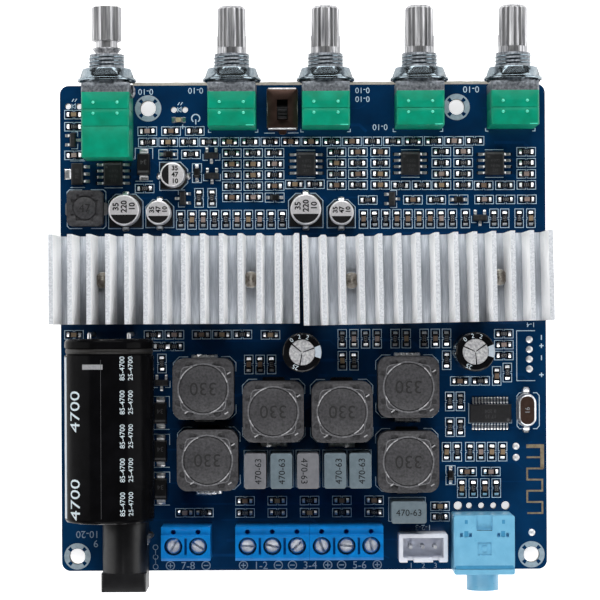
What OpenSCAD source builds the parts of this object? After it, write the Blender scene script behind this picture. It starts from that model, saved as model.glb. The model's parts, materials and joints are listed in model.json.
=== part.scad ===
// Stereo amplifier board with tone controls: a populated circuit board.
// Millimetres, +Z on the component side, +Y towards the control shafts.
// The origin lies on the board's underside, midway between the two front holes.
// Places on the board are given from the board's centre.

/* [Board] */
// Width of the board
board_w = 100; // [98:0.5:110]
// Length of the board from the connectors to the controls
board_l = 100; // [98:0.5:110]
// Thickness of the board
board_t = 1.6; // [1:0.1:2.4]
// Radius of the board's corners
board_corner_r = 1.8; // [0.5:0.1:3]
// Diameter of the mounting holes
hole_d = 3.2; // [2.6:0.1:4]
// Spacing of the front pair of mounting holes
front_hole_span = 93.6; // [90:0.1:94]
// Distance of the front holes from the front edge
front_hole_inset = 3; // [2.6:0.1:4]
// Spacing of the rear pair of mounting holes
rear_hole_span = 63.6; // [62:0.1:65]
// Distance of the rear holes from the rear edge
rear_hole_inset = 4.7; // [4:0.1:6]
// Gap between a pin and the wall of its hole
pin_gap = 0.1; // [0.05:0.05:0.2]
// Depth below the underside at which pins and screw heads end
tail_drop = 2; // [1.6:0.1:3]
// Radius of a solder pad on the underside
pad_r = 0.95; // [0.8:0.05:1.1]

/* [Heatsinks] */
// Width of one heatsink across its fins
sink_w = 50; // [46:0.5:52]
// Length of one heatsink along its fins
sink_l = 18; // [14:0.5:22]
// Height of one heatsink
sink_h = 15; // [10:0.5:20]
// Thickness of the heatsink's base
sink_base_t = 2.5; // [1.5:0.1:4]
// Number of fins
fin_count = 14; // [8:1:16]
// Thickness of a fin at its tip
fin_tip_t = 0.9; // [0.6:0.1:1.2]
// Growth of a fin on each side from tip to root
fin_taper = 0.45; // [0.2:0.05:0.6]
// Gap between the two heatsinks
sink_gap = 0.7; // [0.5:0.1:2]
// Distance of the heatsinks from the board's middle, towards the controls
sink_y = 9.8; // [9:0.1:11]
// Turn of the right heatsink in degrees, as it was screwed down
sink_turn = 1; // [0:0.1:1.5]
// Channels between a heatsink's middle and its screw
screw_channel = 4; // [3:1:5]
// Diameter of the heatsink screws
sink_screw_d = 2.9; // [2.2:0.1:3]
// Diameter of the screws' heads
sink_screw_head_d = 5.6; // [4.5:0.1:6.5]
// Height of the amplifier chips under the heatsinks
amp_h = 1.2; // [1:0.1:1.6]
// Thickness of the thermal pads
thermal_t = 0.3; // [0.2:0.1:1]

/* [Controls] */
// Places of the control shafts across the board
pot_x = [-39.7, -14.3, 4.75, 23.8, 42.85]; // [-45:0.05:45]
// Height of the shafts above the board
pot_axis_h = 6.8; // [6.5:0.1:8]
// Width of a control's housing
pot_w = 9.7; // [9:0.1:11]
// Height of a control's housing
pot_h = 11.6; // [11:0.1:13]
// Length of a short control's wafers
pot_len = 6.9; // [6:0.1:7.4]
// Length of the first control, which has a switch wafer behind
long_pot_len = 13.1; // [12:0.1:13.4]
// Thickness of the cast front
pot_front_t = 1.9; // [1.7:0.1:2.4]
// Distance of the cast front's face from the rear edge of the board
pot_face_inset = 0.5; // [0.3:0.1:0.8]
// Diameter of the threaded bushing
bushing_d = 7; // [6.8:0.1:8]
// Length of the threaded bushing in front of the cast face
bushing_len = 6; // [5:0.1:7]
// Diameter of the shafts
shaft_d = 6; // [5:0.1:6.2]
// Length of the shafts in front of the cast face
shaft_len = 15.7; // [14:0.1:20]
// Running gap around a shaft
shaft_gap = 0.05; // [0.02:0.01:0.08]
// Diameter of the lock washers
washer_d = 11.8; // [10:0.1:12.4]
// Thickness of the lock washers
washer_t = 0.5; // [0.4:0.1:1]
// Width of the hex nuts across their flats
nut_flats = 9.6; // [9:0.1:10.5]
// Thickness of the hex nuts
nut_t = 2; // [1.6:0.1:3]

/* [Slide switch] */
// Place of the slide switch on the board
switch_at = [-4.1, 44.7]; // [-50:0.1:50]
// Width of the switch's shell
switch_w = 6.3; // [6:0.1:6.8]
// Length of the switch's shell
switch_l = 8.4; // [8:0.1:8.8]
// Height of the switch's shell
switch_h = 4.6; // [4.4:0.1:6]
// Thickness of the shell's sheet
switch_sheet_t = 0.3; // [0.2:0.05:0.4]
// Travel of the knob
switch_travel = 2; // [1.5:0.1:2.2]
// Gap around the sliding piece
slide_gap = 0.15; // [0.1:0.05:0.2]

/* [Capacitors and coils] */
// Diameter of the main capacitor
main_cap_d = 18; // [15:0.1:18.4]
// Length of the main capacitor
main_cap_l = 37; // [30:0.5:37]
// Place of the main capacitor's lead end on the board
main_cap_at = [-39.3, -2.1]; // [-50:0.1:50]
// Spacing of the main capacitor's leads
main_lead_span = 8; // [6:0.1:9]
// Diameter of the upright capacitors
radial_d = 8; // [7:0.1:8.6]
// Height of the upright capacitors
radial_h = 12; // [9:0.5:16]
// Height of the can capacitors above the board
can_h = 5.6; // [5:0.1:7]
// Width of the large coils
coil_w = 12.4; // [11.5:0.1:12.8]
// Height of the large coils
coil_h = 8; // [6:0.1:9]
// Width of the small coil
small_coil_w = 7.3; // [6.5:0.1:7.6]
// Height of the small coil
small_coil_h = 4.2; // [3:0.1:5]
// Width of a film capacitor
film_w = 4.4; // [4:0.1:4.7]
// Length of a film capacitor
film_l = 7.1; // [6.5:0.1:7.4]
// Height of a film capacitor
film_h = 9; // [7:0.5:11]

/* [Connectors] */
// Spacing of the screw terminals' poles
pole_pitch = 5; // [5:0.02:5.08]
// Depth of the screw terminals from front to back
terminal_l = 6.8; // [6.7:0.1:7.6]
// Height of the screw terminals
terminal_h = 10; // [9.5:0.1:12]
// Distance of the screw terminals' faces from the front edge
terminal_inset = 2.9; // [2.4:0.1:3.2]
// Diameter of the clamping screws' shanks
clamp_screw_d = 2.5; // [2:0.1:2.6]
// Diameter of the clamping screws' heads
clamp_head_d = 3.1; // [2.8:0.1:3.2]
// Gap around a clamping screw's head
clamp_head_gap = 0.3; // [0.2:0.05:0.35]
// Running gap around a clamping screw's shank
clamp_screw_gap = 0.05; // [0.02:0.01:0.08]
// Width of the audio header's shroud
header_w = 9.9; // [9.5:0.1:10.4]
// Depth of the audio header's shroud
header_l = 5.75; // [5.5:0.05:6.2]
// Height of the audio header's shroud
header_h = 7; // [6:0.1:8]
// Spacing of the audio header's pins
header_pitch = 2.5; // [2.5:0.02:2.54]
// Width of the audio jack
jack_w = 12.2; // [11:0.1:12.6]
// Depth of the audio jack's body behind the front edge
jack_l = 11.9; // [11:0.1:12.4]
// Height of the audio jack
jack_h = 11; // [10:0.1:12]
// Diameter of the audio jack's barrel
barrel_d = 6.5; // [6:0.1:8]
// Length of the audio jack's barrel beyond the front edge
barrel_len = 3.6; // [3:0.1:5]
// Diameter of the audio jack's bore
plug_d = 3.6; // [3.5:0.02:3.7]
// Depth of the audio jack's bore
plug_depth = 14; // [13:0.5:14.5]
// Width of the power jack
power_w = 9; // [8.6:0.1:9.4]
// Height of the power jack
power_h = 11; // [10:0.1:12]
// Depth of the power jack's body behind its flange
power_l = 10.2; // [9.5:0.1:10.8]
// Thickness of the power jack's flange
power_flange_t = 3.7; // [3:0.1:4]
// Diameter of the power jack's opening
power_bore_d = 6.4; // [5.5:0.1:6.8]
// Diameter of the power jack's centre pin
power_pin_d = 2.1; // [1.3:0.1:2.5]

/* [Small parts] */
// Length of a chip part
chip_l = 1.9; // [1.6:0.1:2]
// Width of a chip part
chip_w = 0.95; // [0.8:0.05:1]
// Height of a chip part
chip_h = 0.55; // [0.4:0.05:0.8]

/* [Hidden] */

$fn = 48;
eps = 0.01;
centre_y = board_l / 2 - front_hole_inset;
front_edge = -board_l / 2;
rear_edge = board_l / 2;

// Mounting holes, and the free holes left for parts that are not fitted
mount_holes = [
    for (sx = [-1, 1]) [sx * front_hole_span / 2, front_edge + front_hole_inset],
    for (sx = [-1, 1]) [sx * rear_hole_span / 2, rear_edge - rear_hole_inset]
];
lamp_hole_d = 1.2;
lamp_holes = [[-48.3, 45.8], [-46, 45.8], [-26.5, 45], [-24.2, 45]];
spare_row_y = -36.9;
spare_peg_d = 1.7;
spare_pegs_x = [31.7, 41.5];
spare_pin_d = 1.2;
spare_pins_x = [34, 36.5, 39];

// Heatsinks, worked out from their width, gap and fin pitch
fin_pitch = (sink_w - fin_tip_t) / (fin_count - 1);
sink_under_z = amp_h + thermal_t;
sink_offset = (sink_gap + sink_w) / 2;
sink_mid_x = -0.4;
sink_at = [[sink_mid_x - sink_offset, sink_y], [sink_mid_x + sink_offset, sink_y]];
sink_angle = [0, sink_turn];
screw_offset = screw_channel * fin_pitch;
function turned(p, a) = [p[0] * cos(a) - p[1] * sin(a), p[0] * sin(a) + p[1] * cos(a)];
sink_screws = [
    for (i = [0, 1], s = [-1, 1])
        sink_at[i] + turned([s * screw_offset, 0], sink_angle[i])
];
sink_screw_gap = 0.05;
sink_screw_out = 1.6;
sink_screw_point = 1.4;
sink_screw_reach = sink_screw_out + sink_screw_point;
sink_screw_end = tail_drop + board_t + sink_under_z + sink_base_t + sink_screw_reach;
screw_head_edge = 0.6;
cross_l = 3.2;
cross_w = 0.6;
cross_depth = 1;
amp_w = 6.2;
amp_l = 11;
amp_reach = 8.1;
amp_legs = 16;
amp_pitch = 0.65;
amp_leg_w = 0.3;
thermal_w = 5.6;
thermal_l = 10;

// Controls: distances along a shaft are taken from the face of the cast front
pot_pin_d = 1;
pot_pin_span = 2.5;
pot_pin_rows = [1.6, 4.4];
pot_lug_d = 1.2;
lug_up = 1;
nut_round = 0.2;
shoulder_d = 9;
shoulder_t = 0.6;
dot_from = 2.1;
dot_pitch = 2.2;
dot_d = 0.6;
dot_h = 0.2;
pot_lug_x = pot_w / 2 - 0.9;
pot_corner_r = 0.5;
wafer_count = 2;
seam_w = 0.12;
flange_r = shaft_d / 2 + 1;
flange_t = 0.7;
flange_gap = 0.3;
flange_pocket = flange_t + 2 * flange_gap;
collar_end = 7.3;
collar_gap = 0.3;
shaft_neck_d = shaft_d - 1.6;
tip_chamfer = 0.7;
spline_count = 18;
spline_depth = 0.25;
slot_w = 1;
slot_len = 6;
flute_count = 10;
flute_depth = 0.45;
flute_len = 6.9;
pot_lengths = [long_pot_len, pot_len, pot_len, pot_len, pot_len];

// Slide switch
switch_slot_w = 2.2;
knob_l = 1.9;
knob_w = switch_slot_w - 2 * slide_gap;
slot_l = knob_l + switch_travel + 2 * slide_gap;
slider_t = 0.8;
switch_corner_r = 0.5;
switch_room_w = switch_w - 2 * switch_sheet_t;
switch_room_l = switch_l - 2 * switch_sheet_t;
slider_w = switch_room_w - 2 * slide_gap;
slider_margin = 0.6;
slider_l = knob_l + 2 * slider_margin;
switch_base_h = switch_h - switch_sheet_t - slider_t - 2 * slide_gap;
knob_out = 1.4;
knob_top = slider_t + slide_gap + switch_sheet_t + knob_out;
ridge_h = 0.3;
ridge_w = 0.4;
ridge_pitch = 0.65;
switch_pin_d = 0.7;
switch_pin_pitch = 2;
switch_slot_y = -0.2;
knob_rest_y = switch_slot_y - switch_travel / 2;

// Capacitors and coils
cap_seat = 0.1;
lead_d = 0.8;
main_lead_y = 0.9;
main_cap_edge = 0.9;
main_bead_at = 2.6;
main_bead = 0.8;
bead_share = 0.3;
radial_edge = 0.5;
radial_bead_at = 1.6;
radial_bead = 0.5;
radial_face_r = radial_d / 2 - 1.1;
radial_sink = 0.2;
vent_w = 0.24;
vent_depth = 0.2;
main_leads = [for (s = [-1, 1]) main_cap_at + [s * main_lead_span / 2, main_lead_y]];
radial_at = [[-0.3, -5.05], [34.6, -5.05]];
radial_lead_span = 3.5;
radial_leads = [for (p = radial_at, s = [-1, 1]) p + [s * radial_lead_span / 2, 0]];
can_base_h = 1.2;
can_base_extra = 0.3;
can_base_cut = 1.2;
can_tab_w = 0.8;
can_tab_t = 0.25;
can_tab_out = 0.7;
can_edge = 0.35;
can_bead_at = 0.9;
can_bead = 0.3;
small_can_d = 5;
large_can_d = 6.3;
cans = [
    [[-26.6, 31.3], small_can_d, -90], [[-36.5, 24.1], large_can_d, 0],
    [[-29.5, 23.6], small_can_d, 0], [[0.6, 24.1], large_can_d, 0],
    [[7.9, 23.4], small_can_d, 0]
];
coils = [[-20.4, -12.4], [-19.6, -26.9], [-6.2, -17.1], [7.8, -17.2], [21.3, -12.2], [21.2, -27.4]];
coil_corner_r = 2.2;
drum_d = 10.2;
drum_groove = 0.35;
groove_w = 0.35;
scoop_share = 0.15;
scoop_angle = 15;
coil_hollow_d = drum_d - 3;
coil_hollow_h = 0.4;
coil_foot_r = 0.4;
small_coil_corner_r = 1;
small_drum_d = 5.2;
small_foot_w = 2.6;
coil_foot_t = 0.3;
coil_foot_w = 4.6;
coil_foot_out = 0.7;
coil_foot_in = 2.2;
small_coil_at = [-44.6, 24.6];
film_row_x = [-9.9, -4.6, 0.8, 6.3, 11.4];
film_row_y = -29.1;
film_lone_at = [21.2, -37.6];
film_lead_span = 5;
film_lead_d = 0.6;
film_corner_r = 0.5;
film_foot_w = 0.6;
film_arch_h = 0.5;
film_leads = [
    for (x = film_row_x, s = [-1, 1]) [x, film_row_y + s * film_lead_span / 2],
    for (s = [-1, 1]) film_lone_at + [s * film_lead_span / 2, 0]
];

// Screw terminals: the first block takes the supply, the other two the speakers
terminal_y = front_edge + terminal_inset;
dc_mid_x = -24;
output_mid_x = 1;
function poles(mid, n) = [for (i = [0:n - 1]) mid + (i - (n - 1) / 2) * pole_pitch];
dc_poles = poles(dc_mid_x, 2);
left_poles = poles(output_mid_x - 1.5 * pole_pitch, 3);
right_poles = poles(output_mid_x + 1.5 * pole_pitch, 3);
all_poles = concat(dc_poles, left_poles, right_poles);
block_gap = 0.06;
clamp_y = 2.9;
cage_w = 3.8;
cage_l = 3.8;
cage_h = 5.6;
cage_wall = 0.6;
cage_roof_t = 1.3;
cage_gap = 0.1;
cage_z = 1.2;
clamp_pin_d = 1.1;
clamp_pins = [for (x = all_poles) [x, terminal_y + clamp_y]];
entry_w = 3.4;
entry_h = 3.6;
entry_z = cage_z + cage_wall;
well_d = clamp_head_d + 2 * clamp_head_gap;
cage_top_z = cage_z + cage_h;
head_z = cage_top_z + 0.3;
head_h = 1.7;
driver_slot_w = 0.55;
driver_slot_depth = 0.7;
screw_turns = [65, -33, 0, -15, 45, -70, -5, -80];
probe_d = 1;
probe_y = 5.8;
step_y = 5.2;
step_drop = 0.6;
block_edge = 0.6;
probe_depth = 1.5;
split_w = 0.5;
split_from = 1.2;
split_depth = 1.4;
shank_out = 0.8;
head_edge = 0.4;

// Header and jacks
header_at = [24.2, -45];
header_wall = 0.8;
header_floor = 1;
header_pin_d = 0.7;
header_pin_h = 5;
header_key_w = 1.3;
header_key_x = 2.6;
header_key_z = 2.5;
header_corner_r = 0.3;
header_pin_at = [for (i = [-1:1]) header_at + [i * header_pitch, 0]];
jack_x = 36.3;
jack_axis_h = 5;
jack_pin_d = 1;
jack_corner_r = 0.4;
jack_latch = [3.3, 2.9, 0.8];
jack_pocket = [0.6, 0.9, 1.2];
jack_pocket_y = 8;
jack_pocket_x = 3.75;
jack_pocket_pitch = 0.9;
jack_panel = [2.8, 2.7, 0.3];
jack_panel_y = 5.2;
jack_panel_boss = 0.9;
jack_groove_w = 0.5;
jack_groove_depth = 0.35;
jack_groove_y = 1.3;
pin_root = 1.2;
pin_socket = 1.5;
jack_pins_at = [
    for (s = [-1, 1], y = [2.2, 6.2]) [jack_x + s * 4.6, front_edge + y],
    [jack_x, front_edge + jack_l - 1.3]
];
power_x = -36.5;
power_axis_h = 6.2;
power_front_y = front_edge + 0.5;
power_bore_depth = 9.5;
power_tail_d = 1.2;
power_tab_out = 0.6;
power_corner_r = 0.6;
power_pin_inset = 1.5;
power_pin_proud = 0.02;
power_pin_edge = 0.6;
power_side_h = 5;
power_tails_at = [
    [power_x, power_front_y + power_l - 1],
    [power_x, power_front_y + 3.4],
    [power_x + power_w / 2 + power_tab_out / 2, power_front_y + 6.9]
];

// Solder cones under the board
joint_out = pad_r - 0.4;
joint_top = 0.12;
joint_h = 0.6 * tail_drop;

// All soldered pins as place and diameter, used for the drilling and the joints
function with_d(places, d) = [for (p = places) [p[0], p[1], d]];
pot_pins_at = [
    for (i = [0:4], j = [-1:1], row = pot_pin_rows)
        [pot_x[i] + j * pot_pin_span, rear_edge - pot_face_inset - pot_front_t - pot_lengths[i] + row]
];
pot_lugs_at = [
    for (x = pot_x, s = [-1, 1]) [x + s * pot_lug_x, rear_edge - pot_face_inset - pot_front_t / 2]
];
switch_pins_at = [for (i = [-1:1]) switch_at + [0, switch_slot_y + i * switch_pin_pitch]];
all_pins = concat(
    with_d(pot_pins_at, pot_pin_d), with_d(pot_lugs_at, pot_lug_d),
    with_d(switch_pins_at, switch_pin_d), with_d(main_leads, lead_d),
    with_d(radial_leads, film_lead_d), with_d(film_leads, film_lead_d),
    with_d(clamp_pins, clamp_pin_d), with_d(header_pin_at, header_pin_d),
    with_d(jack_pins_at, jack_pin_d), with_d(power_tails_at, power_tail_d)
);

// Chip parts in rows: start, step to the next, and one letter for each part,
// r for a resistor and c for a capacitor. Lying rows have their length along X.
lying_rows = [
    [[-31.9, 38.3], [4.21, 0], "rcrrcrrccrcrrrrcr"],
    [[-32, 40.6], [4.9, 0], "ccr"],
    [[-47.1, 44.1], [0, -2.5], "cr"],
    [[-47.1, 35.7], [0, 0], "c"],
    [[-23, 35.8], [0, 0], "r"],
    [[-32.6, 28.8], [0, 0], "r"],
    [[-14.6, 36], [0, -2.28], "rcrrc"],
    [[-10.2, 36], [0, -2.28], "rccrc"],
    [[-5.8, 36], [0, -2.28], "rcrc"],
    [[7, 36.1], [0, -2.27], "rcrc"],
    [[11.4, 36.1], [0, -2.27], "crcr"],
    [[16, 36.1], [0, -2.27], "crcc"],
    [[28.6, 36.1], [0, -2.3], "rrcc"],
    [[33.1, 36.1], [0, -2.3], "crrr"],
    [[46.1, 36], [0, -2.28], "rrcr"],
    [[-1.6, 29.5], [4.1, 0], "cr"],
    [[20.2, 29.2], [4.3, 0], "rr"],
    [[37.3, 29.1], [4.4, 0], "cr"],
    [[13.4, 26.2], [0, 0], "r"],
    [[22.7, 26.2], [4.8, 0], "cr"],
    [[37.4, 26.2], [4.4, 0], "crc"],
    [[-47.3, -1.3], [0, 0], "c"],
    [[-30.9, -1.4], [4.3, 0], "rc"],
    [[-21, -1.4], [4.2, 0], "ccr"],
    [[-6.8, -1.5], [0, 0], "c"],
    [[-29.3, -3.8], [2.7, 0], "rr"],
    [[41.3, -1.5], [0, -2.25], "rcr"],
    [[32.2, -11.2], [4.2, 0], "cr"],
    [[33.6, -29.9], [4.9, 0], "cc"],
    [[28, -37], [0, -2.2], "cr"],
    [[-12.2, -35.7], [6.65, 0], "ccrcc"],
    [[-12.2, -38.2], [6.65, 0], "rrcrr"],
    [[-24.6, -38.1], [3.9, 0], "cr"]
];
standing_rows = [
    [[-25.2, 22.3], [2.33, 0], "rccrrcccrr"],
    [[12.5, 22.3], [2.29, 0], "crrcccccr"],
    [[33.5, 22.3], [0, 0], "r"],
    [[39.4, 22.3], [2.2, 0], "rr"],
    [[44.6, 22.3], [2.4, 0], "rc"],
    [[-21.4, 26.8], [2.7, 0], "rr"],
    [[-11.3, -7.6], [2.35, 0], "ccr"],
    [[8, -2.4], [2.4, 0], "rcrc"],
    [[18.9, -2.4], [2.3, 0], "rc"],
    [[24.9, -2.4], [2.3, 0], "rcr"],
    [[8, -6.9], [2.4, 0], "cr"],
    [[29.5, -6.9], [0, 0], "r"],
    [[-29.2, -7.3], [0, 0], "r"],
    [[42, -9.5], [-2.2, -0.7], "rc"],
    [[30.1, -15.4], [2.2, 0], "rr"],
    [[30.1, -20.7], [2.2, 0], "rr"],
    [[29.4, -25.8], [2.2, 0], "cr"],
    [[34.2, -25.8], [2.25, 0], "rccc"],
    [[32.5, -33.3], [2.37, 0], "crcr"]
];
function places(rows, kind) = [
    for (r = rows, i = [0:len(r[2]) - 1]) if (r[2][i] == kind) r[0] + i * r[1]
];
chip_end_l = 0.45;
chip_end_rise = 0.06;
chip_cap_h = chip_h + 0.25;

// Moulded parts with bent legs
chip_draft = 0.2;
chip_lift = 0.1;
leg_t = 0.18;
leg_bend = 0.25;
leg_slope = 0.35;
small_body_w = 1.3;
small_body_h = 1;
small_lift = 0.05;
small_leg_rise = 0.6;
trio_l = 2.9;
trio_reach = 2.7;
trio_pitch = 1.9;
trio_leg_w = 0.45;
diode_body_l = 1.7;
diode_leg_w = 0.6;
power_leg_out = 1;
power_leg_in = 0.6;
power_leg_t = 0.25;
power_leg_w = 1.5;
regulator_w = 2.5;
regulator_l = 4.5;
regulator_h = 1.5;
regulator_leg_out = 0.95;
regulator_leg_t = 0.35;
regulator_leg_w = 0.5;
regulator_tab_w = 1.8;
regulator_pitch = 1.5;
// Small signal diodes: place and turn
diode_l = 2.9;
small_diodes = [
    [[-27.7, 35.8], 0], [[-21.8, 31.9], 90], [[-5.8, 26.8], 0], [[32.1, 26.2], 0], [[30.2, -30.6], 90]
];
power_diode_l = 4.3;
power_diode_w = 2.7;
power_diode_h = 2;
power_diodes = [[-32.7, 33.7], [-29.5, -17.5], [-29.5, -25.3], [-29.5, -33.1]];
// Three-legged transistors: place and turn, the single leg points to -Y at no turn
small_transistors = [
    [[-47.3, 38.8], 90], [[-18.8, 35.5], 0], [[-18.7, 31.3], 0],
    [[-24.7, 26.7], -90], [[18.4, 26.4], 90], [[36.5, 22.4], 0], [[-29.3, -11.3], 0]
];
regulator_at = [-46.4, 31.8];
eight_pin_chips = [[-39, 31.8], [0.7, 33.7], [22.2, 33.7], [39.5, 33.6]];
so_w = 3.9;
so_h = 1.45;
so_reach = 6;
eight_pin_l = 4.9;
eight_pin_legs = 4;
eight_pin_pitch = 1.27;
eight_pin_leg_w = 0.42;
radio_chip_at = [38.4, -17.9];
radio_l = 8.65;
radio_legs = 12;
radio_pitch = 0.635;
radio_leg_w = 0.28;
crystal_at = [45.8, -17.2];
crystal_w = 3.4;
crystal_l = 6.8;
crystal_h = 3.4;
crystal_edge = 0.3;
crystal_rim = 0.5;
crystal_rim_h = 0.5;
crystal_leg_w = 0.9;
crystal_leg_t = 0.25;
crystal_reach = 9.2;
lamp_at = [-25.5, 42.9];
lamp_base_h = 0.45;
lamp_h = 0.8;
lamp_inset = 0.35;
lamp_side = 0.05;

// Puts its children on the board's upper face, at a place given from its centre
module on_board(p) translate([p[0], p[1] + centre_y, board_t]) children();

// Turns children built along +Z so that they run along +Y
module along_y() rotate([-90, 0, 0]) children();

// Turns a profile drawn in Y and Z so that it is extruded along X about the middle
module across_x(w) rotate([90, 0, 90]) linear_extrude(w, center = true) children();

// Turns a profile drawn in X and Z so that it is extruded along Y about the middle
module across_y(l) rotate([90, 0, 0]) linear_extrude(l, center = true) children();

module rounded_rect(w, l, r) {
    square([w - 2 * r, l], center = true);
    square([w, l - 2 * r], center = true);
    for (sx = [-1, 1], sy = [-1, 1])
        translate([sx * (w / 2 - r), sy * (l / 2 - r)]) circle(r, $fn = 32);
}

module stadium(w, l) {
    square([w, l - w], center = true);
    for (s = [-1, 1]) translate([0, s * (l - w) / 2]) circle(d = w, $fn = 48);
}

// A round pin from the board's underside up to a height above its upper face
module pin(p, d, up = 0) on_board(p) translate([0, 0, -board_t])
    cylinder(d = d, h = board_t + up, $fn = 24);

// One drilled hole through the board
module drill(p, d) on_board(p) translate([0, 0, -board_t - 1])
    cylinder(d = d, h = board_t + 2, $fn = 32);

module circuit_board() color("#0b3a66") difference() {
    translate([0, centre_y, 0]) linear_extrude(board_t) rounded_rect(board_w, board_l, board_corner_r);
    for (p = mount_holes) drill(p, hole_d);
    for (p = sink_screws) drill(p, sink_screw_d + 4 * pin_gap);
    for (p = lamp_holes) drill(p, lamp_hole_d);
    for (x = spare_pegs_x) drill([x, spare_row_y], spare_peg_d);
    for (x = spare_pins_x) drill([x, spare_row_y], spare_pin_d);
    for (p = all_pins) drill(p, p[2] + 2 * pin_gap);
}

// A cone of solder under the board with the trimmed end of its pin
module solder_joints() color("#c9ccd0")
    for (p = all_pins) on_board(p) translate([0, 0, -board_t]) mirror([0, 0, 1]) rotate_extrude($fn = 24)
        polygon([
            [0, 0], [p[2] / 2 + joint_out, 0], [p[2] / 2 + joint_top, joint_h],
            [p[2] / 2, joint_h], [p[2] / 2, tail_drop], [0, tail_drop]
        ]);

module fin(i) {
    x = (i - (fin_count - 1) / 2) * fin_pitch;
    polygon([
        [x - fin_tip_t / 2 - fin_taper, sink_base_t - eps],
        [x + fin_tip_t / 2 + fin_taper, sink_base_t - eps],
        [x + fin_tip_t / 2, sink_h], [x - fin_tip_t / 2, sink_h]
    ]);
}

module sink_profile() intersection() {
    translate([-sink_w / 2, 0]) square([sink_w, sink_h]);
    union() {
        translate([-sink_w / 2, 0]) square([sink_w, sink_base_t]);
        for (i = [0:fin_count - 1]) fin(i);
    }
}

module heatsink(i) color("#c3c5ca") difference() {
    on_board(sink_at[i]) translate([0, 0, sink_under_z]) rotate(sink_angle[i])
        across_y(sink_l) sink_profile();
    for (p = sink_screws) on_board(p) translate([0, 0, sink_under_z - 1])
        cylinder(d = sink_screw_d + 2 * sink_screw_gap, h = 1 + sink_base_t + sink_screw_reach);
}

// Self-tapping screws from below: pan head, shank and cone point
module heatsink_screws() color("#8d8f94")
    for (p = sink_screws) on_board(p) translate([0, 0, -board_t - tail_drop]) difference() {
        rotate_extrude() polygon([
            [0, 0], [sink_screw_head_d / 2 - screw_head_edge, 0], [sink_screw_head_d / 2, screw_head_edge],
            [sink_screw_head_d / 2, tail_drop], [sink_screw_d / 2, tail_drop],
            [sink_screw_d / 2, sink_screw_end - sink_screw_point], [0, sink_screw_end]
        ]);
        for (a = [0, 90]) rotate(a) cube([cross_l, cross_w, 2 * cross_depth], center = true);
    }

// Pair of bent legs in one strip: profile in X and Z, mirrored about the middle
module leg_strip(reach, body, rise, t, w) across_y(w) for (s = [0, 1]) mirror([s, 0]) polygon([
    [0, rise], [body / 2 + leg_bend, rise], [body / 2 + leg_bend + leg_slope, t], [reach / 2, t],
    [reach / 2, 0], [body / 2 + leg_slope, 0], [body / 2, rise - t], [0, rise - t]
]);

// Moulded chip body with bevelled sides, centred on the board's face
module chip_body(w, l, h, lift) translate([0, 0, lift]) intersection() {
    across_y(l + 1) bevelled(w, h);
    across_x(w + 1) bevelled(l, h);
}

// Six-sided section of a moulded body, widest at half its height
module bevelled(w, h) polygon([
    [chip_draft - w / 2, 0], [w / 2 - chip_draft, 0], [w / 2, h / 2],
    [w / 2 - chip_draft, h], [chip_draft - w / 2, h], [-w / 2, h / 2]
]);

module leaded_chip(w, l, h, reach, count, pitch, leg_w) {
    chip_body(w, l, h, chip_lift);
    for (i = [0:count - 1]) translate([0, (i - (count - 1) / 2) * pitch, 0])
        leg_strip(reach, w, h / 2 + chip_lift, leg_t, leg_w);
}

module amplifier_chips() color("#26262a")
    for (p = sink_at) on_board(p)
        leaded_chip(amp_w, amp_l, amp_h - chip_lift, amp_reach, amp_legs, amp_pitch, amp_leg_w);

module thermal_pads() color("#9aa0a8")
    for (p = sink_at) on_board(p) translate([0, 0, amp_h]) linear_extrude(thermal_t)
        square([thermal_w, thermal_l], center = true);

// Places its children with +Y along the shaft and the cast face at Y 0
module at_pot(i) on_board([pot_x[i], rear_edge - pot_face_inset]) translate([0, 0, pot_axis_h]) children();

module pot_outline(inset = 0) translate([0, pot_h / 2 - pot_axis_h])
    rounded_rect(pot_w - 2 * inset, pot_h - 2 * inset, pot_corner_r);

// Moulded wafers of one control, with their seams and the four raised dots
module pot_housing(i) color("#0f9a74") at_pot(i) {
    length = pot_lengths[i];
    difference() {
        translate([0, -pot_front_t - length / 2, 0]) across_y(length) pot_outline();
        for (k = [1:wafer_count]) translate([0, -pot_front_t - k * pot_len / wafer_count, 0]) difference() {
            across_y(seam_w) square([2 * pot_w, 3 * pot_h], center = true);
            across_y(1) pot_outline(seam_w);
        }
    }
    for (sx = [-1, 1], k = [0, 1])
        translate([sx * pot_w / 4, -pot_front_t - dot_from - k * dot_pitch, pot_h - pot_axis_h - eps])
            cylinder(d1 = dot_d, d2 = dot_d / 2, h = dot_h, $fn = 24);
}

// Cast fronts with a shoulder and a threaded bushing, and a lug on each side into the board
module pot_fronts() color("#9a9b9f") for (i = [0:4]) {
    at_pot(i) difference() {
        union() {
            translate([0, -pot_front_t / 2, 0]) across_y(pot_front_t) pot_outline();
            along_y() cylinder(d = shoulder_d, h = shoulder_t);
            along_y() cylinder(d = bushing_d, h = bushing_len);
        }
        along_y() translate([0, 0, -pot_front_t - 1])
            cylinder(d = shaft_d + 2 * shaft_gap, h = pot_front_t + bushing_len + 2);
        along_y() translate([0, 0, -pot_front_t - 1])
            cylinder(r = flange_r + flange_gap, h = flange_pocket + 1);
    }
    for (s = [-1, 1])
        pin([pot_x[i] + s * pot_lug_x, rear_edge - pot_face_inset - pot_front_t / 2], pot_lug_d, lug_up);
}

module pot_washers() color("#b9b6ae") for (i = [0:4])
    at_pot(i) along_y() translate([0, 0, shoulder_t]) difference() {
        cylinder(d = washer_d, h = washer_t);
        translate([0, 0, -1]) cylinder(d = bushing_d + 4 * pin_gap, h = washer_t + 2);
    }

module pot_nut() difference() {
    intersection() {
        cylinder(d = nut_flats / cos(30), h = nut_t, $fn = 6);
        cylinder(d1 = nut_flats / cos(30), d2 = nut_flats + nut_round, h = nut_t);
    }
    translate([0, 0, -1]) cylinder(d = bushing_d + pin_gap, h = nut_t + 2);
}

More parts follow.
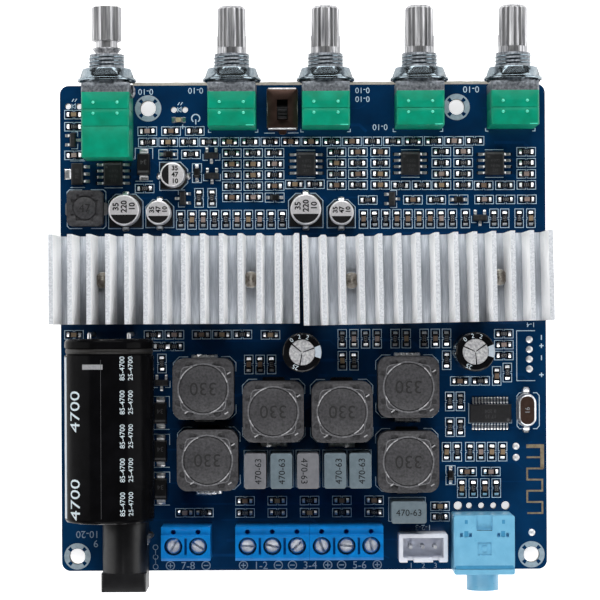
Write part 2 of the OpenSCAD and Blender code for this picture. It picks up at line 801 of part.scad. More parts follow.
module pot_nuts() color("#b9b6ae") for (i = [0:4])
    at_pot(i) along_y() translate([0, 0, shoulder_t + washer_t]) pot_nut();

module pot_pins() color("#c9ccd0") for (p = pot_pins_at) pin(p, pot_pin_d);

// Points of a fluted round section
function star(count, r, depth) = [
    for (k = [0:2 * count - 1])
        let (rr = k % 2 == 0 ? r : r - depth, a = k * 180 / count) [rr * cos(a), rr * sin(a)]
];

// Round limit with a chamfered end for a fluted stretch
module fluted(length, count, depth) intersection() {
    linear_extrude(length) polygon(star(count, shaft_d / 2, depth));
    union() {
        cylinder(d = shaft_d + 1, h = length - tip_chamfer);
        translate([0, 0, length - tip_chamfer])
            cylinder(d1 = shaft_d, d2 = shaft_d - 2 * tip_chamfer, h = tip_chamfer);
    }
}

// Stem inside the bushing with the flange that keeps it there
module shaft_stem(length) {
    stem_z = -pot_front_t + flange_gap;
    translate([0, 0, stem_z]) cylinder(r = flange_r, h = flange_t);
    translate([0, 0, stem_z]) cylinder(d = shaft_d, h = length - stem_z);
}

module splined_shaft(i) color("#c6c7ca") at_pot(i) along_y() difference() {
    union() {
        shaft_stem(collar_end);
        translate([0, 0, collar_end - eps])
            fluted(shaft_len - collar_end + eps, spline_count, spline_depth);
    }
    translate([-shaft_d, -slot_w / 2, shaft_len - slot_len]) cube([2 * shaft_d, slot_w, slot_len + 1]);
}

// The volume shaft has a flared collar, a neck and coarser flutes
module volume_shaft() color("#c6c7ca") at_pot(0) along_y() {
    shaft_stem(bushing_len);
    cylinder(d = shaft_neck_d, h = shaft_len - flute_len + eps);
    translate([0, 0, bushing_len + collar_gap])
        cylinder(d1 = shaft_neck_d, d2 = shaft_d, h = collar_end - bushing_len - collar_gap);
    translate([0, 0, shaft_len - flute_len]) fluted(flute_len, flute_count, flute_depth);
}

// Folded shell of the slide switch, open below, with the slot for the knob
module switch_shell() color("#a8a29a") on_board(switch_at) difference() {
    linear_extrude(switch_h) rounded_rect(switch_w, switch_l, switch_corner_r);
    translate([0, 0, -1]) linear_extrude(switch_h - switch_sheet_t + 1)
        square([switch_room_w, switch_room_l], center = true);
    translate([0, switch_slot_y, switch_h / 2]) linear_extrude(switch_h)
        square([switch_slot_w, slot_l], center = true);
}

module switch_base() color("#2b2a2c") on_board(switch_at) linear_extrude(switch_base_h)
    square([switch_room_w - slide_gap, switch_room_l - slide_gap], center = true);

module switch_pins() color("#c9ccd0") for (p = switch_pins_at) pin(p, switch_pin_d);

// Sliding piece: a plate under the shell and a ridged knob through the slot
module switch_slider() color("#1c1c1e")
    on_board(switch_at) translate([0, knob_rest_y, switch_base_h + slide_gap]) {
        linear_extrude(slider_t) square([slider_w, slider_l], center = true);
        linear_extrude(knob_top - ridge_h) square([knob_w, knob_l], center = true);
        for (k = [-1:1]) translate([0, k * ridge_pitch, 0])
            linear_extrude(knob_top) square([knob_w, ridge_w], center = true);
    }

// Capacitor body turned about its length: bead near the lead end and soft edges
module can_body(d, l, edge, bead_at, bead) {
    r = d / 2;
    rotate_extrude() difference() {
        union() {
            square([r - edge, l]);
            translate([0, edge]) square([r, l - 2 * edge]);
            for (y = [edge, l - edge]) translate([r - edge, y]) circle(edge, $fn = 32);
        }
        translate([-r, -1]) square([r, l + 2]);
        translate([r + bead * bead_share, bead_at]) circle(bead, $fn = 32);
    }
}

// The main capacitor lies along Y with its leads towards the heatsinks
module main_capacitor() color("#17171a")
    on_board(main_cap_at) translate([0, 0, cap_seat + main_cap_d / 2]) rotate([90, 0, 0])
        can_body(main_cap_d, main_cap_l, main_cap_edge, main_bead_at, main_bead);

module vent_lines(z, reach) for (a = [90, 210, 330]) rotate(a)
    translate([0, -vent_w / 2, z]) cube([reach, vent_w, 1]);

module radial_capacitors() color("#1b1b1f") for (p = radial_at) on_board(p) difference() {
    can_body(radial_d, radial_h, radial_edge, radial_bead_at, radial_bead);
    translate([0, 0, radial_h - radial_sink]) cylinder(r = radial_face_r, h = 1);
    vent_lines(radial_h - radial_sink - vent_depth, radial_face_r);
}

module capacitor_leads() color("#c9ccd0") {
    lead_z = cap_seat + main_cap_d / 2;
    for (p = main_leads) {
        pin(p, lead_d, lead_z);
        on_board(p) translate([0, 0, lead_z]) sphere(d = lead_d, $fn = 24);
        on_board(p) translate([0, -main_lead_y, lead_z]) along_y()
            cylinder(d = lead_d, h = main_lead_y, $fn = 24);
    }
    for (p = concat(radial_leads, film_leads)) pin(p, film_lead_d);
}

// Moulded seat of a can capacitor, two corners cut on the positive side
module can_base(d) {
    w = d + can_base_extra;
    linear_extrude(can_base_h) polygon([
        [-w / 2, -w / 2], [w / 2, -w / 2], [w / 2, w / 2 - can_base_cut],
        [w / 2 - can_base_cut, w / 2], [can_base_cut - w / 2, w / 2], [-w / 2, w / 2 - can_base_cut]
    ]);
    for (s = [-1, 1]) translate([0, s * (w / 2 + can_tab_out - can_tab_w / 2), can_tab_t / 2])
        cube([can_tab_w, can_tab_w, can_tab_t], center = true);
}

module can_capacitor_bases() color("#1e1e20") for (c = cans) on_board(c[0]) rotate(c[2]) can_base(c[1]);

module can_capacitors() color("#c8c6c8") for (c = cans) on_board(c[0]) translate([0, 0, can_base_h])
    can_body(c[1], can_h - can_base_h, can_edge, can_bead_at, can_bead);

// Ferrite block with a drum in its top, a ring groove round it and two scoops beside each corner
module coil_block(w, h, corner_r, drum) difference() {
    linear_extrude(h) rounded_rect(w, w, corner_r);
    translate([0, 0, h - drum_groove]) difference() {
        cylinder(d = drum, h = 1);
        translate([0, 0, -1]) cylinder(d = drum - 2 * groove_w, h = 3);
    }
    for (a = [45:90:315], s = [-1, 1]) rotate(a + s * scoop_angle)
        translate([(1 + scoop_share) * drum / 2 - groove_w / 2, 0, h - drum_groove])
            cylinder(d = scoop_share * drum, h = 1, $fn = 16);
}

module output_inductors() color("#4a4a4d") for (p = coils) on_board(p) translate([0, 0, coil_foot_t])
    difference() {
        coil_block(coil_w, coil_h - coil_foot_t, coil_corner_r, drum_d);
        translate([0, 0, -1]) cylinder(d = coil_hollow_d, h = 1 + coil_hollow_h);
    }

module small_inductor() color("#4a4a4d") on_board(small_coil_at) translate([0, 0, coil_foot_t])
    coil_block(small_coil_w, small_coil_h - coil_foot_t, small_coil_corner_r, small_drum_d);

// Flat feet under each coil, reaching out at two opposite sides
module coil_feet(w, foot_w) for (s = [-1, 1])
    translate([0, s * (w / 2 + (coil_foot_out - coil_foot_in) / 2), 0]) linear_extrude(coil_foot_t)
        rounded_rect(foot_w, coil_foot_out + coil_foot_in, coil_foot_r);

module inductor_terminals() color("#c9ccd0") {
    for (p = coils) on_board(p) coil_feet(coil_w, coil_foot_w);
    on_board(small_coil_at) rotate(90) coil_feet(small_coil_w, small_foot_w);
}

module film_box() difference() {
    linear_extrude(film_h) rounded_rect(film_w, film_l, film_corner_r);
    translate([0, 0, -1]) linear_extrude(1 + film_arch_h)
        square([film_w - 2 * film_foot_w, film_l + 1], center = true);
}

module film_capacitors() color("#8d8a90") {
    for (x = film_row_x) on_board([x, film_row_y]) film_box();
    on_board(film_lone_at) rotate(90) film_box();
}

// Side profile of a terminal block, front face at Y 0
module terminal_profile() polygon([
    [0, 0], [terminal_l, 0], [terminal_l, terminal_h - step_drop], [step_y, terminal_h - step_drop],
    [step_y, terminal_h], [block_edge, terminal_h], [0, terminal_h - block_edge]
]);

// Hollows of one pole: wire entry, room for the clamp, screw well and probe hole
module pole_hollow() {
    room_w = cage_w + 2 * cage_gap;
    room_l = cage_l + 2 * cage_gap;
    translate([-entry_w / 2, -1, entry_z]) cube([entry_w, clamp_y + 1, entry_h]);
    translate([-room_w / 2, clamp_y - room_l / 2, cage_z]) cube([room_w, room_l, cage_h + cage_gap]);
    translate([0, clamp_y, cage_z + 1]) cylinder(d = well_d, h = terminal_h);
    translate([0, clamp_y, -1]) cylinder(d = clamp_pin_d + 2 * pin_gap, h = cage_z + 2, $fn = 24);
    translate([0, probe_y, terminal_h - step_drop - probe_depth])
        cylinder(d = probe_d, h = terminal_h, $fn = 24);
}

module terminal_housing(xs) {
    width = len(xs) * pole_pitch - block_gap;
    mid = (xs[0] + xs[len(xs) - 1]) / 2;
    color("#0a78bf") difference() {
        on_board([mid, terminal_y]) across_x(width) terminal_profile();
        for (x = xs) on_board([x, terminal_y]) pole_hollow();
        for (i = [1:len(xs) - 1]) on_board([(xs[i - 1] + xs[i]) / 2, terminal_y])
            translate([-split_w / 2, split_from, terminal_h - split_depth])
                cube([split_w, step_y - split_from - block_edge, terminal_h]);
    }
}

// Brass cages, open to the front, with a tapped roof and a pin into the board
module terminal_clamps() color("#c9b27a") for (x = all_poles) {
    on_board([x, terminal_y + clamp_y]) translate([0, 0, cage_z]) difference() {
        translate([-cage_w / 2, -cage_l / 2, 0]) cube([cage_w, cage_l, cage_h]);
        translate([cage_wall - cage_w / 2, -cage_l, cage_wall])
            cube([cage_w - 2 * cage_wall, 2 * cage_l, cage_h - cage_wall - cage_roof_t]);
        translate([0, 0, cage_h / 2]) cylinder(d = clamp_screw_d + 2 * clamp_screw_gap, h = cage_h);
    }
    pin([x, terminal_y + clamp_y], clamp_pin_d, cage_z + cage_wall / 2);
}

// Slotted clamping screw, its shank through the cage's roof
module terminal_screw(i) color("#c7c8cb")
    on_board([all_poles[i], terminal_y + clamp_y]) rotate(screw_turns[i]) difference() {
        union() {
            translate([0, 0, cage_top_z - cage_roof_t - shank_out])
                cylinder(d = clamp_screw_d, h = head_z + head_h / 2 - cage_top_z + cage_roof_t + shank_out);
            translate([0, 0, head_z]) cylinder(d = clamp_head_d, h = head_h - head_edge);
            translate([0, 0, head_z + head_h - head_edge])
                cylinder(d1 = clamp_head_d, d2 = clamp_head_d - 1.5 * head_edge, h = head_edge);
        }
        translate([-clamp_head_d, -driver_slot_w / 2, head_z + head_h - driver_slot_depth])
            cube([2 * clamp_head_d, driver_slot_w, 2]);
    }

// Open-topped shroud with two key slots in its front wall
module header_shroud() color("#e9e6df") on_board(header_at) difference() {
    linear_extrude(header_h) rounded_rect(header_w, header_l, header_corner_r);
    translate([0, 0, header_floor]) linear_extrude(header_h)
        square([header_w - 2 * header_wall, header_l - 2 * header_wall], center = true);
    for (s = [-1, 1]) translate([s * header_key_x - header_key_w / 2, -header_l, header_key_z])
        cube([header_key_w, header_l, header_h]);
    for (i = [-1:1]) translate([i * header_pitch, 0, -1])
        cylinder(d = header_pin_d + 2 * pin_gap, h = header_floor + 2, $fn = 24);
}

module header_pins() color("#c9ccd0") for (p = header_pin_at) pin(p, header_pin_d, header_pin_h);

// Audio jack: block with latch, pockets, panel and groove in its top, barrel and plug bore
module audio_jack_body() color("#7fc0e0") on_board([jack_x, front_edge]) difference() {
    union() {
        translate([0, jack_l / 2, 0]) linear_extrude(jack_h) rounded_rect(jack_w, jack_l, jack_corner_r);
        translate([0, -barrel_len, jack_axis_h]) along_y() cylinder(d = barrel_d, h = barrel_len + 1);
    }
    translate([0, -barrel_len - 1, jack_axis_h]) along_y() cylinder(d = plug_d, h = plug_depth + 1);
    translate([-jack_latch[0] / 2, jack_l - jack_latch[1], jack_h - jack_latch[2]])
        cube(jack_latch + [0, 1, 1]);
    for (s = [-1, 1], k = [-1:1])
        translate([s * jack_pocket_x + k * jack_pocket_pitch, jack_pocket_y, jack_h])
            cube(jack_pocket, center = true);
    translate([0, jack_panel_y, jack_h]) difference() {
        cube([jack_panel[0], jack_panel[1], 2 * jack_panel[2]], center = true);
        cube(jack_panel_boss, center = true);
    }
    translate([0, jack_groove_y, jack_h])
        cube([2 * jack_w, jack_groove_w, 2 * jack_groove_depth], center = true);
    for (p = jack_pins_at) translate([p[0] - jack_x, p[1] - front_edge, -1])
        cylinder(d = jack_pin_d + 2 * pin_gap, h = 1 + pin_socket, $fn = 24);
}

module audio_jack_pins() color("#c9ccd0") for (p = jack_pins_at) pin(p, jack_pin_d, pin_root);

// Power jack: round-topped body, square flange in front, plug opening
module power_profile() {
    r = power_w / 2;
    translate([-r, 0]) square([power_w, power_h - r]);
    translate([0, power_h - r]) circle(r, $fn = 64);
}

module power_jack_body() color("#1d1d20") on_board([power_x, power_front_y]) difference() {
    union() {
        translate([0, power_l / 2, 0]) across_y(power_l) power_profile();
        translate([0, -power_flange_t / 2, power_h / 2]) across_y(power_flange_t)
            rounded_rect(power_w, power_h, power_corner_r);
    }
    translate([0, -power_flange_t - 1, power_axis_h]) along_y()
        cylinder(d = power_bore_d, h = power_bore_depth + 1);
    translate([0, power_bore_depth - power_flange_t - 1, power_axis_h]) along_y()
        cylinder(d = power_pin_d + 2 * pin_gap, h = power_l);
    for (p = power_tails_at) translate([p[0] - power_x, p[1] - power_front_y, -1])
        cylinder(d = power_tail_d + 2 * pin_gap, h = 1 + pin_socket, $fn = 24);
}

// Centre pin with its rear tab, and the two other contacts
module power_jack_contacts() color("#c9ccd0") {
    pin_tip_y = power_front_y - power_flange_t + power_pin_inset;
    rear_y = power_front_y + power_l + power_pin_proud;
    on_board([power_x, pin_tip_y]) translate([0, 0, power_axis_h]) along_y() {
        translate([0, 0, power_pin_edge])
            cylinder(d = power_pin_d, h = rear_y - pin_tip_y - power_pin_edge, $fn = 32);
        cylinder(d1 = power_pin_d - power_pin_edge, d2 = power_pin_d, h = power_pin_edge, $fn = 32);
    }
    for (i = [0, 1]) pin(power_tails_at[i], power_tail_d, pin_root);
    pin(power_tails_at[2], power_tail_d / 2, power_side_h);
}

// Chip part lying along X: side profile with raised metal ends
module chip_part(h) across_y(chip_w) polygon([
    [-chip_l / 2, 0], [chip_l / 2, 0], [chip_l / 2, h], [chip_l / 2 - chip_end_l, h],
    [chip_l / 2 - chip_end_l, h - chip_end_rise], [chip_end_l - chip_l / 2, h - chip_end_rise],
    [chip_end_l - chip_l / 2, h], [-chip_l / 2, h]
]);

module chip_rows(kind, h) {
    for (p = places(lying_rows, kind)) on_board(p) chip_part(h);
    for (p = places(standing_rows, kind)) on_board(p) rotate(90) chip_part(h);
}

module chip_resistors() color("#2c2b2d") chip_rows("r", chip_h);

module chip_capacitors() color("#a98d66") chip_rows("c", chip_cap_h);

module diodes() color("#1d1d1f") {
    for (d = small_diodes) on_board(d[0]) rotate(d[1]) {
        chip_body(diode_body_l, small_body_w, small_body_h, small_lift);
        leg_strip(diode_l, diode_body_l - chip_draft, small_body_h / 2, leg_t, diode_leg_w);
    }
    for (p = power_diodes) on_board(p) rotate(90) {
        chip_body(power_diode_l, power_diode_w, power_diode_h, chip_lift);
        leg_strip(power_diode_l + power_leg_out, power_diode_l - power_leg_in, power_diode_h / 2,
            power_leg_t, power_leg_w);
    }
}

// One bent leg towards +X, for parts with legs of their own on each side
module leg(body, reach, w) intersection() {
    leg_strip(reach, body, small_leg_rise, leg_t, w);
    translate([0, -w, -1]) cube([reach, 2 * w, small_leg_rise + 2]);
}

module small_transistor() {
    chip_body(trio_l, small_body_w, small_body_h, small_lift);
    rotate(-90) leg(small_body_w, trio_reach, trio_leg_w);
    for (s = [-1, 1]) translate([s * trio_pitch / 2, 0, 0]) rotate(90)
        leg(small_body_w, trio_reach, trio_leg_w);
}

// Regulator with a wide cooling tab on one side and three legs on the other
module regulator() {
    chip_body(regulator_w, regulator_l, regulator_h, 0);
    translate([-regulator_w / 2 - regulator_leg_out, -regulator_tab_w / 2, 0])
        cube([regulator_w / 2, regulator_tab_w, regulator_leg_t]);
    for (k = [-1:1]) translate([regulator_leg_out, k * regulator_pitch - regulator_leg_w / 2, 0])
        cube([regulator_w / 2, regulator_leg_w, regulator_leg_t]);
}

module transistors() color("#1d1d1f") {
    for (t = small_transistors) on_board(t[0]) rotate(t[1]) small_transistor();
    on_board(regulator_at) regulator();
}

module signal_chips() color("#232326") {
    for (p = eight_pin_chips) on_board(p)
        leaded_chip(so_w, eight_pin_l, so_h, so_reach, eight_pin_legs, eight_pin_pitch, eight_pin_leg_w);
    on_board(radio_chip_at) rotate(90)
        leaded_chip(so_w, radio_l, so_h, so_reach, radio_legs, radio_pitch, radio_leg_w);
}

// Crystal can: flanged base, drawn can with a soft top edge, and two end legs
module crystal() color("#b6a794") on_board(crystal_at) {
    linear_extrude(crystal_rim_h) stadium(crystal_w + crystal_rim, crystal_l + crystal_rim);
    linear_extrude(crystal_h - crystal_edge) stadium(crystal_w, crystal_l);
    linear_extrude(crystal_h) stadium(crystal_w - 2 * crystal_edge, crystal_l - 2 * crystal_edge);
    linear_extrude(crystal_leg_t) square([crystal_leg_w, crystal_reach], center = true);
}

module indicator_lamp() color("#e8dcb8") on_board(lamp_at) {
    linear_extrude(lamp_base_h) square([chip_l, chip_w], center = true);
    linear_extrude(lamp_h) square([chip_l - 2 * lamp_inset, chip_w - 2 * lamp_side], center = true);
}

circuit_board();
solder_joints();
heatsink(0);  // heatsink_left
heatsink(1);  // heatsink_right
heatsink_screws();
amplifier_chips();
thermal_pads();
pot_housing(0);  // volume_pot_housing
pot_housing(1);  // treble_pot_housing
pot_housing(2);  // level_pot_housing
pot_housing(3);  // crossover_pot_housing
pot_housing(4);  // bass_pot_housing
volume_shaft();
splined_shaft(1);  // treble_shaft
splined_shaft(2);  // level_shaft
splined_shaft(3);  // crossover_shaft
splined_shaft(4);  // bass_shaft
pot_fronts();
pot_washers();
pot_nuts();
pot_pins();
switch_shell();
switch_base();
switch_slider();
switch_pins();
main_capacitor();
radial_capacitors();
capacitor_leads();
can_capacitor_bases();
can_capacitors();
output_inductors();
small_inductor();
inductor_terminals();
film_capacitors();
terminal_housing(dc_poles);  // dc_terminal_housing
terminal_housing(left_poles);  // left_output_housing
terminal_housing(right_poles);  // right_output_housing
terminal_clamps();
terminal_screw(0);  // dc_screw_1
terminal_screw(1);  // dc_screw_2
terminal_screw(2);  // output_screw_1
terminal_screw(3);  // output_screw_2
terminal_screw(4);  // output_screw_3
terminal_screw(5);  // output_screw_4
terminal_screw(6);  // output_screw_5
terminal_screw(7);  // output_screw_6
header_shroud();
header_pins();
audio_jack_body();
audio_jack_pins();
power_jack_body();
power_jack_contacts();
signal_chips();
crystal();
chip_resistors();
chip_capacitors();
diodes();
transistors();
indicator_lamp();
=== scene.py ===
"""Dresses the amplifier board: finishes, solder, print and small metalwork around the fixed frame.

All lengths in this file are millimetres in the part's own frame, with the board's underside at Z 0,
+Z on the component side and +Y towards the control shafts. Meshes are scaled to metres once, when a
piece is made.
"""

import json
import logging
import math
import random
from dataclasses import dataclass, field
from enum import Enum
from typing import Iterable, Optional, Sequence

import bmesh
import bpy
from mathutils import Matrix, Vector

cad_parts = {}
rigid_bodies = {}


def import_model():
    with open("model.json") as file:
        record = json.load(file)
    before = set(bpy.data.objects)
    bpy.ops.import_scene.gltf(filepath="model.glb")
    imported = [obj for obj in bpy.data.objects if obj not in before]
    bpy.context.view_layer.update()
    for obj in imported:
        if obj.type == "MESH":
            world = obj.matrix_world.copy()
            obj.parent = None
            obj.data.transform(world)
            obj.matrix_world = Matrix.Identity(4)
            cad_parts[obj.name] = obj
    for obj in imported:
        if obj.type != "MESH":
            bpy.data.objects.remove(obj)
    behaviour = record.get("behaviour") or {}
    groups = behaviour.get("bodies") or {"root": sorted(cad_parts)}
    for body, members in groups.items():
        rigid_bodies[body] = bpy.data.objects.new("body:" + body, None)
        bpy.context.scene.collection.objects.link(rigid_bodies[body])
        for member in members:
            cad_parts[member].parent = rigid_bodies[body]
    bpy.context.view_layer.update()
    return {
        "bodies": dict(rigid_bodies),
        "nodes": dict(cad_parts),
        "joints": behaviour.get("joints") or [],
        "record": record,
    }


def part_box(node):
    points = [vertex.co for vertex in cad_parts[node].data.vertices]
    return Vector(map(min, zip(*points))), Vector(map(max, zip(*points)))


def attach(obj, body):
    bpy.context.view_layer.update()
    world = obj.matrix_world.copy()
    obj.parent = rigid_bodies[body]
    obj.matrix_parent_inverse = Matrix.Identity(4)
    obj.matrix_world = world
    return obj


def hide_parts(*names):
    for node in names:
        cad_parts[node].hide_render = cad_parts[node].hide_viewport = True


LOG = logging.getLogger("amplifier_board")
MM = 0.001
BOARD = "board"

Point2 = tuple[float, float]
Point3 = tuple[float, float, float]


def linear(hex_colour: str) -> tuple[float, float, float, float]:
    """Turns an sRGB hex colour into linear red, green, blue and full alpha.

    Args:
        hex_colour: Six hex digits, with or without a leading hash.

    Returns:
        The linear colour with an alpha of 1.
    """
    digits = hex_colour.lstrip("#")
    channels = [int(digits[i:i + 2], 16) / 255 for i in (0, 2, 4)]
    lin = [c / 12.92 if c <= 0.04045 else ((c + 0.055) / 1.055) ** 2.4 for c in channels]
    return (lin[0], lin[1], lin[2], 1.0)


def add_node(tree: bpy.types.NodeTree, kind: str, inputs: Optional[dict] = None, **settings) -> bpy.types.Node:
    """Adds one shader node, sets its properties and fills or links its inputs.

    Args:
        tree: The node tree to add to.
        kind: Blender's node type name, without the ShaderNode prefix.
        inputs: Socket name or number to a plain value, or to an output socket to link.
        **settings: Node properties to set, such as operation or blend_type.

    Returns:
        The new node.
    """
    node = tree.nodes.new("ShaderNode" + kind)
    for name, value in settings.items():
        setattr(node, name, value)
    for key, value in (inputs or {}).items():
        if isinstance(value, bpy.types.NodeSocket):
            tree.links.new(value, node.inputs[key])
        else:
            node.inputs[key].default_value = value
    return node


class Grain(Enum):
    """Which way a surface's marks run."""

    EVEN = (1.0, 1.0, 1.0)
    ALONG_X = (0.04, 1.0, 1.0)
    ALONG_Y = (1.0, 0.04, 1.0)
    ALONG_Z = (1.0, 1.0, 0.04)


@dataclass(frozen=True)
class Finish:
    """One real surface: its colours, gloss and the marks that its making left.

    Attributes:
        name: Material name, the real material and how it was made.
        colour: Main sRGB hex colour.
        mottle: Second sRGB hex colour that the pattern mixes in.
        pattern_mm: Size of the pattern's marks.
        rough: Roughness in the smoother marks.
        rough_spread: Extra roughness in the duller marks.
        metallic: 1 for bare metal, 0 otherwise.
        ior: Index of refraction, left at the default for metals.
        gloss: Strength of the mirror reflection, 0.5 for a bare surface and less under dust.
        bump_mm: Height of the surface's relief.
        relief_mm: Size of the relief's grains.
        grain: Direction of the marks.
        coat: Weight of a clear coat.
        transmission: Share of light let through.
    """

    name: str
    colour: str
    mottle: str
    pattern_mm: float = 1.0
    rough: float = 0.4
    rough_spread: float = 0.1
    metallic: float = 0.0
    ior: float = 1.5
    gloss: float = 0.5
    bump_mm: float = 0.0
    relief_mm: float = 0.2
    grain: Grain = Grain.EVEN
    coat: float = 0.0
    transmission: float = 0.0

    def pattern(self, tree: bpy.types.NodeTree, size_mm: float, detail: float = 4.0) -> bpy.types.Node:
        """Adds noise in the part's frame with marks of a real size.

        Args:
            tree: The material's node tree.
            size_mm: Size of one mark across its grain.
            detail: Octaves of finer noise.

        Returns:
            The noise node, with its Fac output from 0 to 1.
        """
        coords = add_node(tree, "TexCoord")
        scale = [axis / (size_mm * MM) for axis in self.grain.value]
        mapping = add_node(tree, "Mapping", {"Vector": coords.outputs["Object"], "Scale": scale})
        return add_node(tree, "TexNoise", {"Vector": mapping.outputs[0], "Scale": 1.0, "Detail": detail})

    def base_colour(self, tree: bpy.types.NodeTree) -> bpy.types.NodeSocket:
        """Mixes the two colours by the pattern.

        Args:
            tree: The material's node tree.

        Returns:
            The colour socket for the shader.
        """
        noise = self.pattern(tree, self.pattern_mm)
        spread = add_node(tree, "MapRange", {"Value": noise.outputs["Fac"], "From Min": 0.3, "From Max": 0.7})
        mix = add_node(tree, "MixRGB", {"Fac": spread.outputs[0], "Color1": linear(self.colour),
                                        "Color2": linear(self.mottle)})
        return mix.outputs[0]

    def make(self) -> bpy.types.Material:
        """Builds the material, or returns it if it has been built before.

        Returns:
            The Blender material.
        """
        if self.name in bpy.data.materials:
            return bpy.data.materials[self.name]
        material = bpy.data.materials.new(self.name)
        material.use_nodes = True
        tree = material.node_tree
        shader = tree.nodes["Principled BSDF"]
        shader.inputs["Metallic"].default_value = self.metallic
        shader.inputs["IOR"].default_value = self.ior
        shader.inputs["Specular IOR Level"].default_value = self.gloss
        shader.inputs["Coat Weight"].default_value = self.coat
        shader.inputs["Transmission Weight"].default_value = self.transmission
        tree.links.new(self.base_colour(tree), shader.inputs["Base Color"])
        marks = self.pattern(tree, self.pattern_mm * 0.5)
        dull = add_node(tree, "MapRange", {"Value": marks.outputs["Fac"], "From Min": 0.25, "From Max": 0.75,
                                           "To Min": self.rough, "To Max": self.rough + self.rough_spread})
        tree.links.new(dull.outputs[0], shader.inputs["Roughness"])
        if self.bump_mm:
            relief = self.pattern(tree, self.relief_mm)
            bump = add_node(tree, "Bump", {"Height": relief.outputs["Fac"], "Distance": self.bump_mm * MM})
            tree.links.new(bump.outputs[0], shader.inputs["Normal"])
        return material


@dataclass
class Shape:
    """A closed mesh in millimetres, with one finish number per face."""

    points: list[Vector] = field(default_factory=list)
    faces: list[tuple[int, ...]] = field(default_factory=list)
    slots: list[int] = field(default_factory=list)

    def add(self, other: "Shape", place: Matrix = Matrix.Identity(4)) -> "Shape":
        """Copies another shape into this one.

        Args:
            other: The shape to copy.
            place: Where the copy goes.

        Returns:
            This shape, so that calls can be chained.
        """
        first = len(self.points)
        flip = place.determinant() < 0
        self.points.extend(place @ point for point in other.points)
        for face in other.faces:
            moved = tuple(first + index for index in face)
            self.faces.append(moved[::-1] if flip else moved)
        self.slots.extend(other.slots)
        return self

    def at(self, x: float, y: float, z: float, turn: float = 0.0) -> "Shape":
        """Returns a copy turned about Z by some degrees and then moved."""
        return Shape().add(self, Matrix.Translation((x, y, z)) @ Matrix.Rotation(math.radians(turn), 4, "Z"))


def sweep(rings: Sequence[Sequence[Point3]], slot: int = 0, closed: bool = False) -> Shape:
    """Joins rings of equal length into one closed skin.

    Args:
        rings: Rings of points, each running anticlockwise seen from the end of the sweep.
        slot: Finish number of every face.
        closed: Joins the last ring to the first, as in a torus, in place of end caps.

    Returns:
        The closed shape.
    """
    count = len(rings[0])
    shape = Shape([Vector(point) for ring in rings for point in ring])
    steps = len(rings) if closed else len(rings) - 1
    for row in range(steps):
        low, high = row * count, (row + 1) % len(rings) * count
        for i in range(count):
            j = (i + 1) % count
            shape.faces.append((low + i, low + j, high + j, high + i))
    if not closed:
        last = (len(rings) - 1) * count
        shape.faces.append(tuple(reversed(range(count))))
        shape.faces.append(tuple(range(last, last + count)))
    shape.slots = [slot] * len(shape.faces)
    return shape


def prism(outline: Sequence[Point2], low: float, high: float, slot: int = 0, chamfer: float = 0.0) -> Shape:
    """Raises an anticlockwise outline, drawing its top rim in by a small chamfer.

    Args:
        outline: Points in X and Y.
        low: Z of the bottom.
        high: Z of the top.
        slot: Finish number.
        chamfer: Width and height of the top rim's chamfer.

    Returns:
        The closed shape.
    """
    rings = [[(x, y, low) for x, y in outline]]
    if chamfer:
        rings.append([(x, y, high - chamfer) for x, y in outline])
        rings.append([(x, y, high) for x, y in inset(outline, chamfer)])
    else:
        rings.append([(x, y, high) for x, y in outline])
    return sweep(rings, slot)


def inset(outline: Sequence[Point2], width: float) -> list[Point2]:
    """Moves each corner of an anticlockwise outline inwards.

    Args:
        outline: Points in X and Y.
        width: Distance to move each side.

    Returns:
        The smaller outline.
    """
    result = []
    for i, (x, y) in enumerate(outline):
        before = Vector((x, y)) - Vector(outline[i - 1])
        after = Vector(outline[(i + 1) % len(outline)]) - Vector((x, y))
        n1 = Vector((-before.y, before.x)).normalized()
        n2 = Vector((-after.y, after.x)).normalized()
        mitre = (n1 + n2) / max(1e-6, 1 + n1.dot(n2))
        result.append((x + mitre.x * width, y + mitre.y * width))
    return result


def rounded(width: float, depth: float, radius: float, steps: int = 4) -> list[Point2]:
    """Gives a rounded rectangle about the origin, anticlockwise.

    Args:
        width: Size in X.
        depth: Size in Y.
        radius: Corner radius.
        steps: Points per corner, less one.

    Returns:
        The outline.
    """
    outline = []
    for quarter, (sx, sy) in enumerate(((1, 1), (-1, 1), (-1, -1), (1, -1))):
        for step in range(steps + 1):
            angle = math.radians(90 * (quarter + step / steps))
            outline.append((sx * (width / 2 - radius) + radius * math.cos(angle),
                            sy * (depth / 2 - radius) + radius * math.sin(angle)))
    return outline


def block(width: float, depth: float, height: float, edge: float = 0.05, slot: int = 0) -> Shape:
    """Gives a box on Z 0 about the origin with every edge broken.

    Args:
        width: Size in X.
        depth: Size in Y.
        height: Size in Z.
        edge: Width of the broken edges.
        slot: Finish number.

    Returns:
        The closed shape.
    """
    outline = rounded(width, depth, edge, 2)
    small = inset(outline, edge * 0.9)
    rings = [[(x, y, 0) for x, y in small], [(x, y, edge) for x, y in outline],
             [(x, y, height - edge) for x, y in outline], [(x, y, height) for x, y in small]]
    return sweep(rings, slot)


def lathe(profile: Sequence[Point2], steps: int = 32, slot: int = 0) -> Shape:
    """Turns a profile of radius and height about Z, from its lower end to its upper end.

    Args:
        profile: Pairs of radius and Z, the first and last being the end caps' rims.
        steps: Points per ring.
        slot: Finish number.

    Returns:
        The closed shape.
    """
    turns = [(math.cos(math.tau * i / steps), math.sin(math.tau * i / steps)) for i in range(steps)]
    return sweep([[(r * c, r * s, z) for c, s in turns] for r, z in profile], slot)


